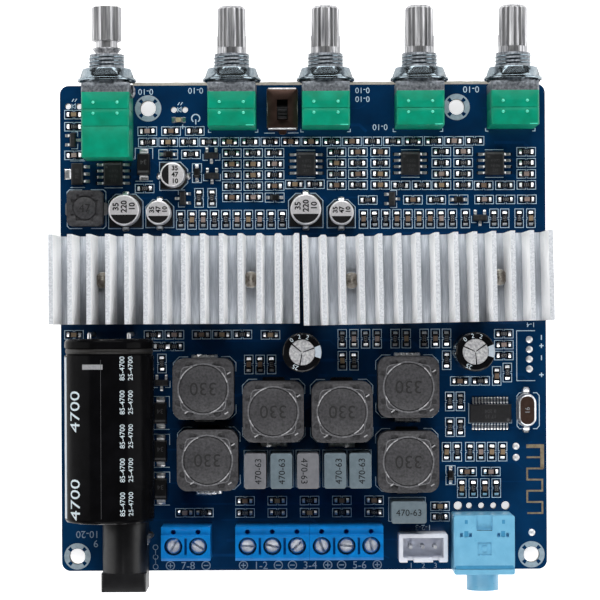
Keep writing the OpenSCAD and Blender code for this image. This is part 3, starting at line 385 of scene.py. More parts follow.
def ring(outer: float, inner: float, low: float, high: float, slot: int = 0, start: float = 0.0,
         span: float = 360.0) -> Shape:
    """Gives a flat ring or an arc of one, about Z.

    Args:
        outer: Outside radius.
        inner: Inside radius.
        low: Z of the bottom.
        high: Z of the top.
        slot: Finish number.
        start: Angle of the arc's start in degrees.
        span: Angle that the arc covers in degrees.

    Returns:
        The closed shape.
    """
    whole = span >= 360
    steps = max(6, round(span / 10))
    rings = []
    for i in range(steps if whole else steps + 1):
        a = math.radians(start + span * i / steps)
        c, s = math.cos(a), math.sin(a)
        rings.append([(r * c, r * s, z) for r, z in ((inner, low), (inner, high), (outer, high), (outer, low))])
    return sweep(rings, slot, whole)


def strip(path: Sequence[Point2], width: float, low: float, high: float, slot: int = 0) -> Shape:
    """Lays a flat strip of even width along an open path, with mitred bends.

    Args:
        path: Points in X and Y.
        width: Width of the strip.
        low: Z of the bottom.
        high: Z of the top.
        slot: Finish number.

    Returns:
        The closed shape.
    """
    points = [Vector(point) for point in path]
    rings = []
    for i, point in enumerate(points):
        ahead = (points[min(i + 1, len(points) - 1)] - points[min(i, len(points) - 2)]).normalized()
        behind = (points[max(i, 1)] - points[max(i - 1, 0)]).normalized()
        n1, n2 = Vector((-behind.y, behind.x)), Vector((-ahead.y, ahead.x))
        side = (n1 + n2) / max(0.3, 1 + n1.dot(n2)) * width / 2
        left, right = point + side, point - side
        rings.append([(left.x, left.y, low), (left.x, left.y, high), (right.x, right.y, high), (right.x, right.y, low)])
    return sweep(rings, slot)


def wire(path: Sequence[Point3], radius: float, slot: int = 0, sides: int = 10) -> Shape:
    """Bends round wire along a path.

    Args:
        path: Points along the wire's middle.
        radius: Radius of the wire.
        slot: Finish number.
        sides: Points round the wire.

    Returns:
        The closed shape.
    """
    points = [Vector(point) for point in path]
    rings = []
    across = None
    for i, point in enumerate(points):
        along = (points[min(i + 1, len(points) - 1)] - points[max(i - 1, 0)]).normalized()
        if across is None:
            across = along.orthogonal().normalized()
        across = (across - along * across.dot(along)).normalized()
        other = along.cross(across)
        rings.append([point + (across * math.cos(math.tau * k / sides) + other * math.sin(math.tau * k / sides)) * radius
                      for k in range(sides)])
    return sweep(rings, slot)


def digits(text: str, height: float, thick: float = 0.03, slot: int = 0, bold: float = 0.0) -> Shape:
    """Makes raised figures, centred on the origin and reading along +X.

    Args:
        text: Plain figures and signs.
        height: Height of a figure.
        thick: Height of the print above its surface.
        slot: Finish number.
        bold: How far the strokes are widened on each side.

    Returns:
        The closed shape.
    """
    curve = bpy.data.curves.new("figures", "FONT")
    curve.offset = bold
    curve.body = text
    curve.size = height * 1.39
    curve.align_x = "CENTER"
    curve.extrude = thick / 2
    curve.resolution_u = 3
    holder = bpy.data.objects.new("figures", curve)
    mesh = bpy.data.meshes.new_from_object(holder)
    ys = [v.co.y for v in mesh.vertices]
    middle = (min(ys) + max(ys)) / 2
    shape = Shape([v.co + Vector((0, -middle, thick / 2)) for v in mesh.vertices],
                  [tuple(face.vertices) for face in mesh.polygons])
    shape.slots = [slot] * len(shape.faces)
    bpy.data.objects.remove(holder)
    bpy.data.curves.remove(curve)
    bpy.data.meshes.remove(mesh)
    return shape


@dataclass(frozen=True)
class Box:
    """A box in millimetres in the part's frame."""

    lo: Vector
    hi: Vector

    @property
    def mid(self) -> Vector:
        """The box's middle."""
        return (self.lo + self.hi) / 2

    @property
    def size(self) -> Vector:
        """The box's size along each axis."""
        return self.hi - self.lo


def node_box(node: str) -> Box:
    """Returns a CAD node's box in millimetres."""
    lo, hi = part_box(node)
    return Box(lo / MM, hi / MM)


def solid_boxes(obj: bpy.types.Object) -> list[Box]:
    """Finds the box of each separate solid in a CAD node.

    Args:
        obj: The node's mesh object.

    Returns:
        One box per solid, sorted by Y and then X.
    """
    parent: dict[tuple, tuple] = {}

    def root(key: tuple) -> tuple:
        """Follows a point to the solid's own point."""
        while parent[key] != key:
            parent[key] = parent[parent[key]]
            key = parent[key]
        return key

    keys = [tuple(round(c / MM, 2) for c in obj.matrix_world @ v.co) for v in obj.data.vertices]
    for key in keys:
        parent.setdefault(key, key)
    for edge in obj.data.edges:
        first, second = (root(keys[i]) for i in edge.vertices)
        parent[first] = second
    groups: dict[tuple, list[Vector]] = {}
    for key in parent:
        groups.setdefault(root(key), []).append(Vector(key))
    boxes = [Box(Vector(map(min, zip(*pts))), Vector(map(max, zip(*pts)))) for pts in groups.values()]
    return sorted(boxes, key=lambda b: (round(b.mid.y, 1), b.mid.x))


class Workshop:
    """Holds the loaded frame, makes pieces ride their bodies and gives CAD nodes their finishes."""

    def __init__(self, frame: dict) -> None:
        """Keeps the frame and starts the list of new pieces' names."""
        self.frame = frame
        self.pieces: list[str] = []

    def node(self, name: str) -> bpy.types.Object:
        """Returns a CAD node's object."""
        return self.frame["nodes"][name]

    def coat(self, name: str, finish: Finish, smooth: float = 32.0) -> bpy.types.Object:
        """Gives a CAD node one finish and rounds its shading below an angle.

        Args:
            name: The node.
            finish: Its finish.
            smooth: Edges sharper than this many degrees stay sharp.

        Returns:
            The node's object.
        """
        obj = self.node(name)
        obj.data.materials.clear()
        obj.data.materials.append(finish.make())
        obj.data.shade_smooth()
        obj.data.set_sharp_from_angle(angle=math.radians(smooth))
        LOG.info("%s: %s", name, finish.name)
        return obj

    def soften(self, name: str, width: float) -> None:
        """Rounds a CAD node's sharp edges when it is drawn, without touching its mesh.

        Args:
            name: The node.
            width: Width of the rounded edges in millimetres.
        """
        obj = self.node(name)
        weld = obj.modifiers.new("weld", "WELD")
        weld.merge_threshold = 0.002 * MM
        bevel = obj.modifiers.new("edges", "BEVEL")
        bevel.width = width * MM
        bevel.segments = 2
        bevel.limit_method = "ANGLE"
        bevel.angle_limit = math.radians(40)
        bevel.use_clamp_overlap = True

    def piece(self, name: str, shape: Shape, finishes: Sequence[Finish], body: str = BOARD,
              replaces: Iterable[str] = (), smooth: float = 32.0) -> bpy.types.Object:
        """Turns a shape into a mesh object that rides a body.

        Args:
            name: The piece's name.
            shape: Its mesh in millimetres.
            finishes: Finishes in the order of the shape's slots.
            body: The body it rides.
            replaces: CAD nodes whose place it takes.
            smooth: Edges sharper than this many degrees stay sharp.

        Returns:
            The new object.
        """
        mesh = bpy.data.meshes.new(name)
        mesh.from_pydata([point * MM for point in shape.points], [], shape.faces)
        for finish in finishes:
            mesh.materials.append(finish.make())
        mesh.polygons.foreach_set("material_index", shape.slots)
        mesh.shade_smooth()
        mesh.set_sharp_from_angle(angle=math.radians(smooth))
        mesh.validate()
        obj = bpy.data.objects.new(name, mesh)
        bpy.context.scene.collection.objects.link(obj)
        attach(obj, body)
        nodes = list(replaces)
        if nodes:
            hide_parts(*nodes)
        self.pieces.append(name)
        LOG.info("%s: %d faces on %s", name, len(mesh.polygons), body)
        return obj


# Blue liquid solder mask over copper: dark navy and satin, slightly paler where no copper lies below.
MASK = Finish("solder_mask_blue_screened", "#08345b", "#062849", 6.0, 0.14, 0.06, ior=1.52, bump_mm=0.004,
              relief_mm=0.5)
# Copper lines under the mask: the same navy, a little lighter because the mask lies thinner on them.
TRACE = Finish("solder_mask_over_copper", "#0a3764", "#083056", 3.0, 0.14, 0.06, ior=1.52)
# Sawn glass-fibre laminate at the board's edge: dull straw with fibres along the cut.
LAMINATE = Finish("glass_epoxy_laminate_sawn", "#cbc6ba", "#aca79b", 0.4, 0.7, 0.15, ior=1.55, bump_mm=0.02,
                  relief_mm=0.15)
# Screen-printed legend ink: flat off-white, a little thin at its edges.
LEGEND = Finish("legend_ink_screened", "#c9dfee", "#aecbe0", 0.4, 0.55, 0.1, ior=1.5)
# The same ink rubbed thin along the front edge, where hands hold the board.
LEGEND_WORN = Finish("legend_ink_rubbed", "#8397ab", "#6b8097", 0.4, 0.6, 0.1, ior=1.5)
# Round pads levelled with tin: soft and nearly white.
PAD_ROUND = Finish("tin_pad_levelled", "#ffffff", "#dcdde0", 0.6, 0.5, 0.12, 1.0)
# Reflowed tin solder: bright, slightly wavy metal.
SOLDER = Finish("tin_solder_reflowed", "#fcfcfc", "#ebecee", 0.5, 0.24, 0.14, 1.0, bump_mm=0.03, relief_mm=0.35)
# Bright tin heaped at the ends of small parts: near white, in uneven patches.
TIN_END = Finish("tin_plated_bright", "#ffffff", "#d6d8dc", 0.45, 0.3, 0.2, 1.0, bump_mm=0.02, relief_mm=0.3)
# Thin solder drawn out over a pad, mirror-like; its dark grey colour is a painted reflection of the dark board and
# room.
SOLDER_PAINTED_DARK = Finish("tin_solder_painted_dark", "#5d6065", "#1b1d21", 0.5, 0.2, 0.15, 1.0)
# A broken pale line along the coils' feet: a painted glint of the solder, which lies in the coils' shade.
SOLDER_PAINTED_GLINT = Finish("solder_painted_glint", "#e2e2e0", "#8d8e90", 0.6, 0.5, 0.2, ior=1.5, bump_mm=0.05, relief_mm=0.3)
# A foot in a coil's shadow, painted dark grey-blue as shade.
TIN_PAINTED_SHADE = Finish("copper_alloy_painted_shade", "#2b2d32", "#17181c", 0.6, 0.4, 0.15, 1.0)
# Hand-dipped solder below the board: a bit duller, with flux stains.
SOLDER_DULL = Finish("tin_solder_wave_dipped", "#c3c4c6", "#9a9a98", 0.9, 0.24, 0.2, 1.0, bump_mm=0.05, relief_mm=0.5)
# Bare tinned pad or ring: grey-blue, flat and satin.
PAD = Finish("tinned_copper_pad", "#c3d2dc", "#a9bcc8", 0.8, 0.5, 0.12, 1.0)
# Bare copper flash-coated with gold: warm beige lines.
GOLD = Finish("gold_flashed_copper", "#b9ab92", "#93826a", 0.7, 0.5, 0.12, 1.0)
# Extruded aluminium, sawn to length: pale grey with draw lines along the fins.
EXTRUSION = Finish("aluminium_extruded", "#c9cdd3", "#a9aeb5", 0.16, 0.62, 0.1, 1.0, bump_mm=0.01, relief_mm=0.12,
                   grain=Grain.ALONG_Y)
# Flanks of the fins, painted near white as light from the side: the brightest stripes of the heatsink.
FIN_FLANK_PAINTED_LIGHT = Finish("aluminium_flank_painted_light", "#ffffff", "#f3f4f6", 0.5, 0.7, 0.1, 0.15, grain=Grain.ALONG_Y)
# Tips of the fins, pale, dull and speckled: a painted highlight on their upward faces.
FIN_TIP_PAINTED_LIGHT = Finish("aluminium_tip_painted_light", "#e9ebee", "#cfd2d7", 0.35, 0.7, 0.15, 1.0, bump_mm=0.01, relief_mm=0.3)
# Turned aluminium rod: bright with fine tool rings.
TURNED = Finish("aluminium_turned", "#d0d0d2", "#6e6f73", 0.4, 0.3, 0.2, 1.0, bump_mm=0.02, relief_mm=0.25,
                grain=Grain.ALONG_Y)
# Nickel-plated brass: bright, a little cold, with dark reflections between its facets.
NICKEL = Finish("brass_nickel_plated", "#8f9aa0", "#727e86", 0.6, 0.18, 0.08, 1.0, bump_mm=0.001, relief_mm=0.6)
# Zinc-plated pressed steel: bright, faintly blue, with rolling marks.
STEEL = Finish("steel_zinc_plated_pressed", "#f8f8f8", "#c0c2c5", 0.7, 0.42, 0.2, 1.0, bump_mm=0.012, relief_mm=0.3)
# End of a self-tapping screw, scraped bright and faintly brown by its own thread.
SCREW = Finish("steel_screw_tapped", "#c9c2b8", "#8d857c", 0.5, 0.4, 0.15, 1.0, bump_mm=0.02, relief_mm=0.2)
# Tinned copper-alloy pin or lead, bright and smooth.
TINNED = Finish("copper_alloy_tinned", "#f0f1f2", "#d9dade", 0.5, 0.26, 0.14, 1.0)
# Die-cast zinc front plate: mottled mid grey with flow marks.
CAST = Finish("zinc_die_cast", "#a3a8ae", "#5b6067", 0.6, 0.42, 0.2, 1.0, bump_mm=0.05, relief_mm=0.4)
# Moulded green housing: soft satin green with a faint flow pattern.
GREEN = Finish("polyamide_green_moulded", "#009374", "#007f60", 2.5, 0.34, 0.08, ior=1.53, gloss=0.25, bump_mm=0.002,
               relief_mm=1.2)
# The same green lightened as a painted highlight on the raised dots and on a burr.
GREEN_PAINTED_GLINT = Finish("polyamide_green_painted_glint", "#5fdcbf", "#46cbab", 0.3, 0.15, 0.05, ior=1.53)
# Moulded epoxy chip body: near black, fine matte grain.
EPOXY = Finish("epoxy_chip_moulded", "#29292b", "#1f1f21", 0.5, 0.34, 0.1, ior=1.55, bump_mm=0.012, relief_mm=0.08)
# The diodes' own epoxy: blacker and duller.
EPOXY_DARK = Finish("epoxy_diode_moulded", "#121214", "#0b0b0d", 0.5, 0.4, 0.1, ior=1.55, gloss=0.25)
# Soft grey silicone sheet.
SILICONE = Finish("silicone_pad_cut", "#9a9da0", "#84878a", 0.7, 0.7, 0.1, ior=1.41, bump_mm=0.02, relief_mm=0.3)
# Moulded black nylon.
BLACK = Finish("nylon_black_moulded", "#18181a", "#101012", 1.2, 0.34, 0.1, ior=1.53, gloss=0.3, bump_mm=0.004,
               relief_mm=0.6)
# Heat-shrunk black sleeve: glossy film with slight waves.
SLEEVE = Finish("pvc_sleeve_black_shrunk", "#0d0d0f", "#080809", 3.0, 0.12, 0.06, ior=1.53, gloss=0.02, bump_mm=0.03,
                relief_mm=1.6)
# The rolled bead under the sleeve's end: dark grey, a painted reflection band across the black sleeve.
SLEEVE_BEAD_PAINTED_REFLECTION = Finish("pvc_sleeve_bead_painted_reflection", "#262423", "#171615", 0.9, 0.4, 0.15, ior=1.53, gloss=0.25)
# The same sleeve where it is pulled tight over an edge or a short can: clean and glossy.
SLEEVE_TAUT = Finish("pvc_sleeve_black_taut", "#121214", "#0b0b0d", 2.0, 0.08, 0.05, ior=1.53, gloss=0.3)
# White or pale blue ink on the sleeve.
SLEEVE_INK = Finish("sleeve_ink_printed", "#d9e3e8", "#bccdd6", 0.4, 0.4, 0.1)
# Where the sleeve's seam and a worn patch scatter the light: dull dark grey.
SEAM = Finish("pvc_sleeve_seam_welded", "#4c4c4f", "#3a3a3d", 0.5, 0.45, 0.2, ior=1.53)
# Drawn aluminium can: pale, satin, faint draw lines.
CAN = Finish("aluminium_can_drawn", "#f0eef0", "#dedcde", 0.4, 0.5, 0.1, 1.0, bump_mm=0.006, relief_mm=0.2)
# Black lacquer printed on the cans.
CAN_INK = Finish("can_lacquer_printed", "#0c0c0d", "#151517", 0.5, 0.4, 0.1, gloss=0.3)
# Stamped top of an upright can: silver, mottled by the press.
CAN_TOP = Finish("aluminium_top_stamped", "#ffffff", "#b2b2b8", 0.5, 0.45, 0.15, 1.0, bump_mm=0.09, relief_mm=0.45)
# Pressed and sintered ferrite: dark grey, granular, chalky edges.
FERRITE = Finish("ferrite_sintered", "#444347", "#1a1a1c", 0.5, 0.4, 0.2, ior=1.8, gloss=0.35, bump_mm=0.04, relief_mm=0.3)
# Varnish that rose round a coil's drum: a thin paler line with small glints.
GLUE = Finish("epoxy_varnish_cured", "#77777a", "#555558", 0.5, 0.25, 0.2, ior=1.5, bump_mm=0.02, relief_mm=0.2)
# Arcs and spots on the same varnish, painted near white as glints.
GLUE_PAINTED_GLINT = Finish("epoxy_varnish_painted_glint", "#bdbdc0", "#88888b", 0.5, 0.15, 0.1, ior=1.5)
# Potted film-capacitor boxes, two batches of slightly different grey.
FILM_WARM = Finish("film_box_warm_moulded", "#717277", "#65666b", 1.0, 0.4, 0.12, ior=1.53, bump_mm=0.004, relief_mm=0.4)
FILM_COOL = Finish("film_box_cool_moulded", "#66747c", "#5a6870", 1.0, 0.4, 0.12, ior=1.53, bump_mm=0.004, relief_mm=0.4)
# Dark marking ink on the boxes and coils; the same colour paints the shade in the audio jack's groove as a thin line.
DARK_INK_AND_SHADE = Finish("legend_ink_dark_and_painted_shade", "#131417", "#202125", 0.4, 0.6, 0.1, gloss=0.2)
# Pale grey marking ink on resistors and the crystal; on the large sleeve the same colour paints a lamp's highlight as a
# short bar.
PALE_INK_AND_HIGHLIGHT = Finish("marking_ink_pale_and_painted_highlight", "#9a9b9d", "#85868a", 0.3, 0.5, 0.1)
# Moulded blue terminal housing: saturated satin blue.
TERMINAL = Finish("polyamide_blue_moulded", "#0675c0", "#0563a6", 2.0, 0.3, 0.08, ior=1.53, gloss=0.2, bump_mm=0.003,
                  relief_mm=1.0)
# Bent brass clamp, tinned.
BRASS = Finish("brass_bent_tinned", "#cfc3a2", "#b4a374", 0.5, 0.24, 0.15, 1.0)
# Moulded off-white nylon.
WHITE = Finish("nylon_white_moulded", "#e4e6ee", "#d6d9e2", 1.5, 0.4, 0.1, ior=1.53, bump_mm=0.003, relief_mm=0.8)
# Moulded pale blue jack body.
JACK = Finish("abs_pale_blue_moulded", "#78b8d8", "#6aabcd", 2.0, 0.26, 0.08, ior=1.53, bump_mm=0.003, relief_mm=0.8)
# Deeper blue plates: painted shade where the jack's wall is set back.
JACK_SHADE = Finish("abs_pale_blue_painted_shade", "#4792bb", "#3a82aa", 1.2, 0.35, 0.1, ior=1.53, gloss=0.3)
# Clamping screws: bright zinc, scratched into light and dark sectors.
SCREW_HEAD = Finish("steel_zinc_scratched", "#ffffff", "#d2d4d8", 0.9, 0.55, 0.2, 1.0, bump_mm=0.09, relief_mm=0.9)
# Thick-film resistor glass: black and glassy.
GLAZE = Finish("resistor_glaze_fired", "#1a1a1c", "#242427", 0.5, 0.3, 0.12, ior=1.52)
# Fired ceramic of chip capacitors, three batches.
CERAMIC = (
    Finish("barium_titanate_tan_fired", "#9b8568", "#857057", 0.5, 0.42, 0.12, ior=1.7),
    Finish("barium_titanate_brown_fired", "#806a57", "#6c5748", 0.5, 0.42, 0.12, ior=1.7),
    Finish("barium_titanate_pink_fired", "#a3918a", "#8d7b74", 0.5, 0.42, 0.12, ior=1.7),
)
# Clear-cast lamp resin over a white cup.
RESIN = Finish("epoxy_lamp_cast", "#b4aa8e", "#968c70", 0.5, 0.2, 0.1, ior=1.52)
# Pale laser marks on chips: barely lighter than the moulding.
CHIP_INK = Finish("laser_mark_on_epoxy", "#4b4b4d", "#3c3c3e", 0.3, 0.6, 0.1)
# Figures pressed and inked into ferrite: a shade darker than the block.
COIL_INK = Finish("ferrite_ink_dark", "#161617", "#202021", 0.3, 0.6, 0.1)
# Pale blue stripe on the upright capacitors' sleeves; the same colour paints the reflection along the large sleeve's
# left edge.
STRIPE_INK_AND_REFLECTION = Finish("sleeve_stripe_printed_and_painted_reflection", "#bcc7d1", "#a7b3be", 0.5, 0.3, 0.1)
# Polished pressed shell of the slide switch; its dark brown colour is a painted reflection of the dark room above it.
SHELL_PAINTED_REFLECTION = Finish("steel_shell_painted_dark_reflection", "#745c53", "#604c45", 1.5, 0.3, 0.1, 1.0, bump_mm=0.003, relief_mm=0.8)
# Polished crystal lid: its dark brown colour is a painted reflection.
CRYSTAL_PAINTED_REFLECTION = Finish("nickel_silver_lid_painted_dark_reflection", "#80655b", "#6c554c", 1.0, 0.36, 0.06, 1.0)


CENTRE_Y = 47.0
TOP = 1.6
INK = 0.03


def bracket(half_l: float, half_w: float, gap: float, line: float, tick: float = 0.3) -> Shape:
    """Gives a printed outline about the origin, broken and turned in at the middle of its long sides.

    Args:
        half_l: Half its length along X.
        half_w: Half its width along Y.
        gap: Half the break in each long side.
        line: Width of the printed line.
        tick: How far the broken ends turn in.

    Returns:
        Two facing brackets.
    """
    shape = Shape()
    for side in (-1, 1):
        path = [(side * gap, half_w - tick), (side * gap, half_w), (side * half_l, half_w), (side * half_l, -half_w),
                (side * gap, -half_w), (side * gap, tick - half_w)]
        shape.add(strip(path if side > 0 else path[::-1], line, 0.0, INK))
    return shape


def circle(radius: float, line: float, slot: int = 0, start: float = 0.0, span: float = 360.0) -> Shape:
    """Returns a printed circle or arc about the origin."""
    return ring(radius + line / 2, radius - line / 2, 0.0, INK, slot, start, span)


def fillet(profile: Sequence[Point3], side: int, slot: int = 0) -> Shape:
    """Heaps solder that runs out along Y from a part's end.

    Args:
        profile: Triples of distance, height and half width along the run.
        side: 1 to run towards +Y, -1 towards -Y.
        slot: Finish number.

    Returns:
        The closed shape.
    """
    rings = [[(half, side * out, 0.02), (half * 0.7, side * out, rise), (-half * 0.7, side * out, rise),
              (-half, side * out, 0.02)] for out, rise, half in profile]
    return sweep(rings if side > 0 else [points[::-1] for points in rings], slot)


@dataclass(frozen=True)
class ChipField:
    """Chip resistors and capacitors with wrapped ends, solder fillets, pads and outlines.

    Attributes:
        end_l: Length of a part's metal end.
        pad_out: How far a pad reaches past the part's end.
        pad_w: Width of a pad.
        outline: Half length and half width of the printed outline.
        dome: Slope of the solder at the ends.
        seed: Seed of the batches and of small turns.
    """

    end_l: float = 0.42
    pad_out: float = 0.7
    pad_w: float = 1.4
    outline: Point2 = (1.93, 0.885)
    line: float = 0.13
    turn_limit: float = 2.5
    dome: float = 0.46
    seed: int = 11

    def part(self, size: Vector, body_slot: int, figure: Optional[Shape], upright: bool) -> Shape:
        """Makes one chip part along X on the board's face.

        Args:
            size: Its length, width and height.
            body_slot: Finish number of its body.
            figure: Printed figure for its top, if any.
            upright: Whether it is turned to lie along Y, where its solder slopes outwards instead of sideways.

        Returns:
            Body, two ends and two fillets, with slots 0 for ends and 1 for solder.
        """
        length, width, height = size
        shape = block(length - 2 * self.end_l + 0.06, width - 0.06, height - 0.09, 0.04, body_slot).at(0, 0, 0.05)
        for side in (-1, 1):
            x = side * (length / 2 - self.end_l / 2)
            # The ends take slot 0, painted dark as a reflection of the room; the solder heaps take slot 1, bright tin.
            shape.add(block(self.end_l, width, height - 0.02, 0.07, 0).at(x, 0, 0.02))
            rings = []
            for reach, fade in ((0.0, 1.0), (0.3, 0.95), (0.52, 0.9), (0.6, 0.5)):
                half = width / 2 - 0.02 - 0.1 * reach
                rise = (0.42 - self.dome * reach if upright else 0.42) * fade
                edge = rise if upright else max(0.05, rise - self.dome * half)
                across = [(-half, 0.0), (half, 0.0), (half, edge), (0.0, rise + 0.01), (-half, edge)]
                rings.append([(side * (length / 2 - 0.05 + reach), -side * y, z) for y, z in across])
            shape.add(sweep(rings, 1))
        if figure:
            shape.add(figure.at(0, 0, height - 0.045))
        return shape

    def field(self, shop: Workshop, node: str, finishes: Sequence[Finish], batches: int, figures: Sequence[str]) -> None:
        """Rebuilds every part of one CAD node in detail.

        Args:
            shop: Where the pieces are made.
            node: The CAD node with the plain parts.
            finishes: Ends, solder, then the bodies' batches and last the figures.
            batches: How many body batches there are.
            figures: Figures to print, or none.
        """
        rng = random.Random(self.seed + batches)
        prints = [digits(text, 0.62, INK, 2 + batches) for text in figures]
        parts = Shape()
        pads = Shape()
        ink = Shape()
        for box in solid_boxes(shop.node(node)):
            upright = box.size.y > box.size.x
            size = Vector((box.size.y, box.size.x, box.size.z)) if upright else box.size
            figure = rng.choice(prints) if prints else None
            part = self.part(size, 2 + rng.randrange(batches), figure, upright)
            turn = (90 if upright else 0) + rng.uniform(-self.turn_limit, self.turn_limit)
            parts.add(part.at(box.mid.x, box.mid.y, TOP + 0.025, turn))
            square = 90 if upright else 0
            for side in (-1, 1):
                reach = self.pad_out + self.end_l
                pad = block(reach, self.pad_w, INK, 0.012).at(side * (size.x / 2 - self.end_l + reach / 2), 0, 0)
                pads.add(pad.at(box.mid.x, box.mid.y, TOP, square))
            ink.add(bracket(*self.outline, 0.16, self.line).at(box.mid.x, box.mid.y, TOP, square))
        shop.piece(f"{node}_parts", parts, finishes, replaces=(node,))
        # The pads are painted dark as a reflection of the room.
        shop.piece(f"{node}_pads", pads, (SOLDER_PAINTED_DARK,))
        shop.piece(f"{node}_outlines", ink, (LEGEND,))

    def dress(self, shop: Workshop) -> None:
        """Rebuilds both kinds of chip part."""
        self.field(shop, "chip_resistors", (SOLDER_PAINTED_DARK, TIN_END, GLAZE, PALE_INK_AND_HIGHLIGHT), 1, ("103", "472", "220", "151", "104"))
        self.field(shop, "chip_capacitors", (SOLDER_PAINTED_DARK, TIN_END) + CERAMIC, len(CERAMIC), ())


@dataclass(frozen=True)
class LeadedChips:
    """Moulded chips, diodes and transistors with bent leads and solder.

    Attributes:
        lead_t: Thickness of the leads.
        toe: Length of a lead's flat foot.
        line: Width of the printed marks round the parts.
    """

    lead_t: float = 0.18
    toe: float = 0.75
    line: float = 0.14

    def body(self, width: float, length: float, height: float) -> Shape:
        """Returns a bevelled moulded body about the origin, on Z 0.1."""
        draft = 0.2
        rings = []
        for z, cut in ((0.1, draft), (0.1 + height * 0.5, 0.0), (0.14 + height * 0.5, 0.0), (height + 0.04, draft),
                       (height + 0.1, draft + 0.07)):
            rings.append([(x, y, z) for x, y in rounded(width - 2 * cut, length - 2 * cut, 0.06, 2)])
        return sweep(rings, 0)

    def lead(self, start: float, end: float, rise: float, width: float) -> Shape:
        """Bends one lead along +X with a fillet of solder at its toe.

        Args:
            start: X where it leaves the body.
            end: X of its toe.
            rise: Height where it leaves the body.
            width: Its width.

        Returns:
            The lead and its solder, with slots 1 and 2.
        """
        t = self.lead_t
        foot = max(start + 0.3, end - self.toe)
        path = [(start - 0.1, rise), (start + 0.16, rise), (start + 0.27, rise - 0.1), (foot - 0.08, t + 0.1),
                (foot + 0.06, t), (end, t)]
        shape = sweep([[(x, width / 2, z), (x, -width / 2, z), (x, -width / 2, z - t), (x, width / 2, z - t)]
                       for x, z in path], 1)
        half = width / 2 + 0.08
        rings = [[(x, half, 0.03), (x, half * 0.8, z), (x, -half * 0.8, z), (x, -half, 0.03)]
                 for x, z in ((foot - 0.12, 0.08), (foot + 0.1, 0.16), (end + 0.02, 0.15), (end + 0.34, 0.045))]
        return shape.add(sweep([r[::-1] for r in rings], 2))

    def two_sided(self, size: Vector, body_w: float, count: int, pitch: float, lead_w: float) -> Shape:
        """Makes a chip with leads on its two X sides.

        Args:
            size: Overall reach in X, length in Y and height.
            body_w: Width of the moulded body.
            count: Leads on each side.
            pitch: Distance between leads.
            lead_w: Width of a lead.

        Returns:
            The chip about the origin, on the board's face.
        """
        shape = self.body(body_w, size.y, size.z - 0.1)
        for side in (0, 180):
            for i in range(count):
                y = (i - (count - 1) / 2) * pitch
                lead = self.lead(body_w / 2, size.x / 2, size.z * 0.55, lead_w).at(0, y, 0)
                shape.add(lead.at(0, 0, 0, side))
        return shape

    def signal_chips(self, shop: Workshop) -> None:
        """Rebuilds the four eight-lead chips and the radio chip."""
        chips, ink, pads = Shape(), Shape(), Shape()
        for box in solid_boxes(shop.node("signal_chips")):
            x, y, _ = box.mid
            if box.size.x > 7:
                size = Vector((6.0, box.size.x, box.size.z))
                chip = self.two_sided(size, 3.9, 12, 0.635, 0.28)
                chip.add(lathe(((0.3, 0), (0.34, 0.0), (0.34, 0.02), (0.3, 0.03)), 16, 3).at(-1.3, -3.6, size.z + 0.0))
                chip.add(digits("8 204", 0.75, INK, 3).at(0.5, 0, size.z - 0.01, 90))
                chip.add(digits("17 35", 0.75, INK, 3).at(-0.6, 0, size.z - 0.01, 90))
                chips.add(chip.at(x, y, TOP + 0.02, 90))
                for side in (-1, 1):
                    for i in range(12):
                        pads.add(block(0.36, 1.5, INK, 0.01).at(x + (i - 5.5) * 0.635, y + side * 2.85, TOP))
                ink.add(strip([(-4.4, 2.1), (-4.4, -2.0), (-3.8, -2.0)], self.line, 0, INK).at(x, y, TOP))
                ink.add(strip([(4.4, -1.3), (4.4, -2.0), (3.8, -2.0)], self.line, 0, INK).at(x, y, TOP))
                continue
            size = Vector((6.0, 4.9, box.size.z))
            chip = self.two_sided(size, 3.9, 4, 1.27, 0.42)
            chip.add(block(3.3, 0.42, INK, 0.012, 3).at(0, 2.0, size.z - 0.01))
            chip.add(lathe(((0.2, 0), (0.24, 0.0), (0.24, 0.02), (0.2, 0.03)), 16, 3).at(-1.3, 1.35, size.z))
            for row, text in ((0.5, "4 072"), (-0.5, "18 06"), (-1.45, "235")):
                chip.add(digits(text, 0.62, INK, 3).at(0.1, row, size.z - 0.01))
            chips.add(chip.at(x, y, TOP + 0.02))
            for side in (-1, 1):
                for i in range(4):
                    pads.add(block(1.6, 0.62, INK, 0.01).at(x + side * 2.85, y + (i - 1.5) * 1.27, TOP))
                ink.add(strip([(x - 1.9, y + side * 2.85), (x + 1.9, y + side * 2.85)], self.line, TOP, TOP + INK))
        shop.piece("signal_chip_parts", chips, (EPOXY, TIN_END, SOLDER, CHIP_INK), replaces=("signal_chips",))
        shop.piece("signal_chip_outlines", ink, (LEGEND,))
        # The pads are painted dark as a reflection of the room.
        shop.piece("signal_chip_pads", pads, (SOLDER_PAINTED_DARK,))

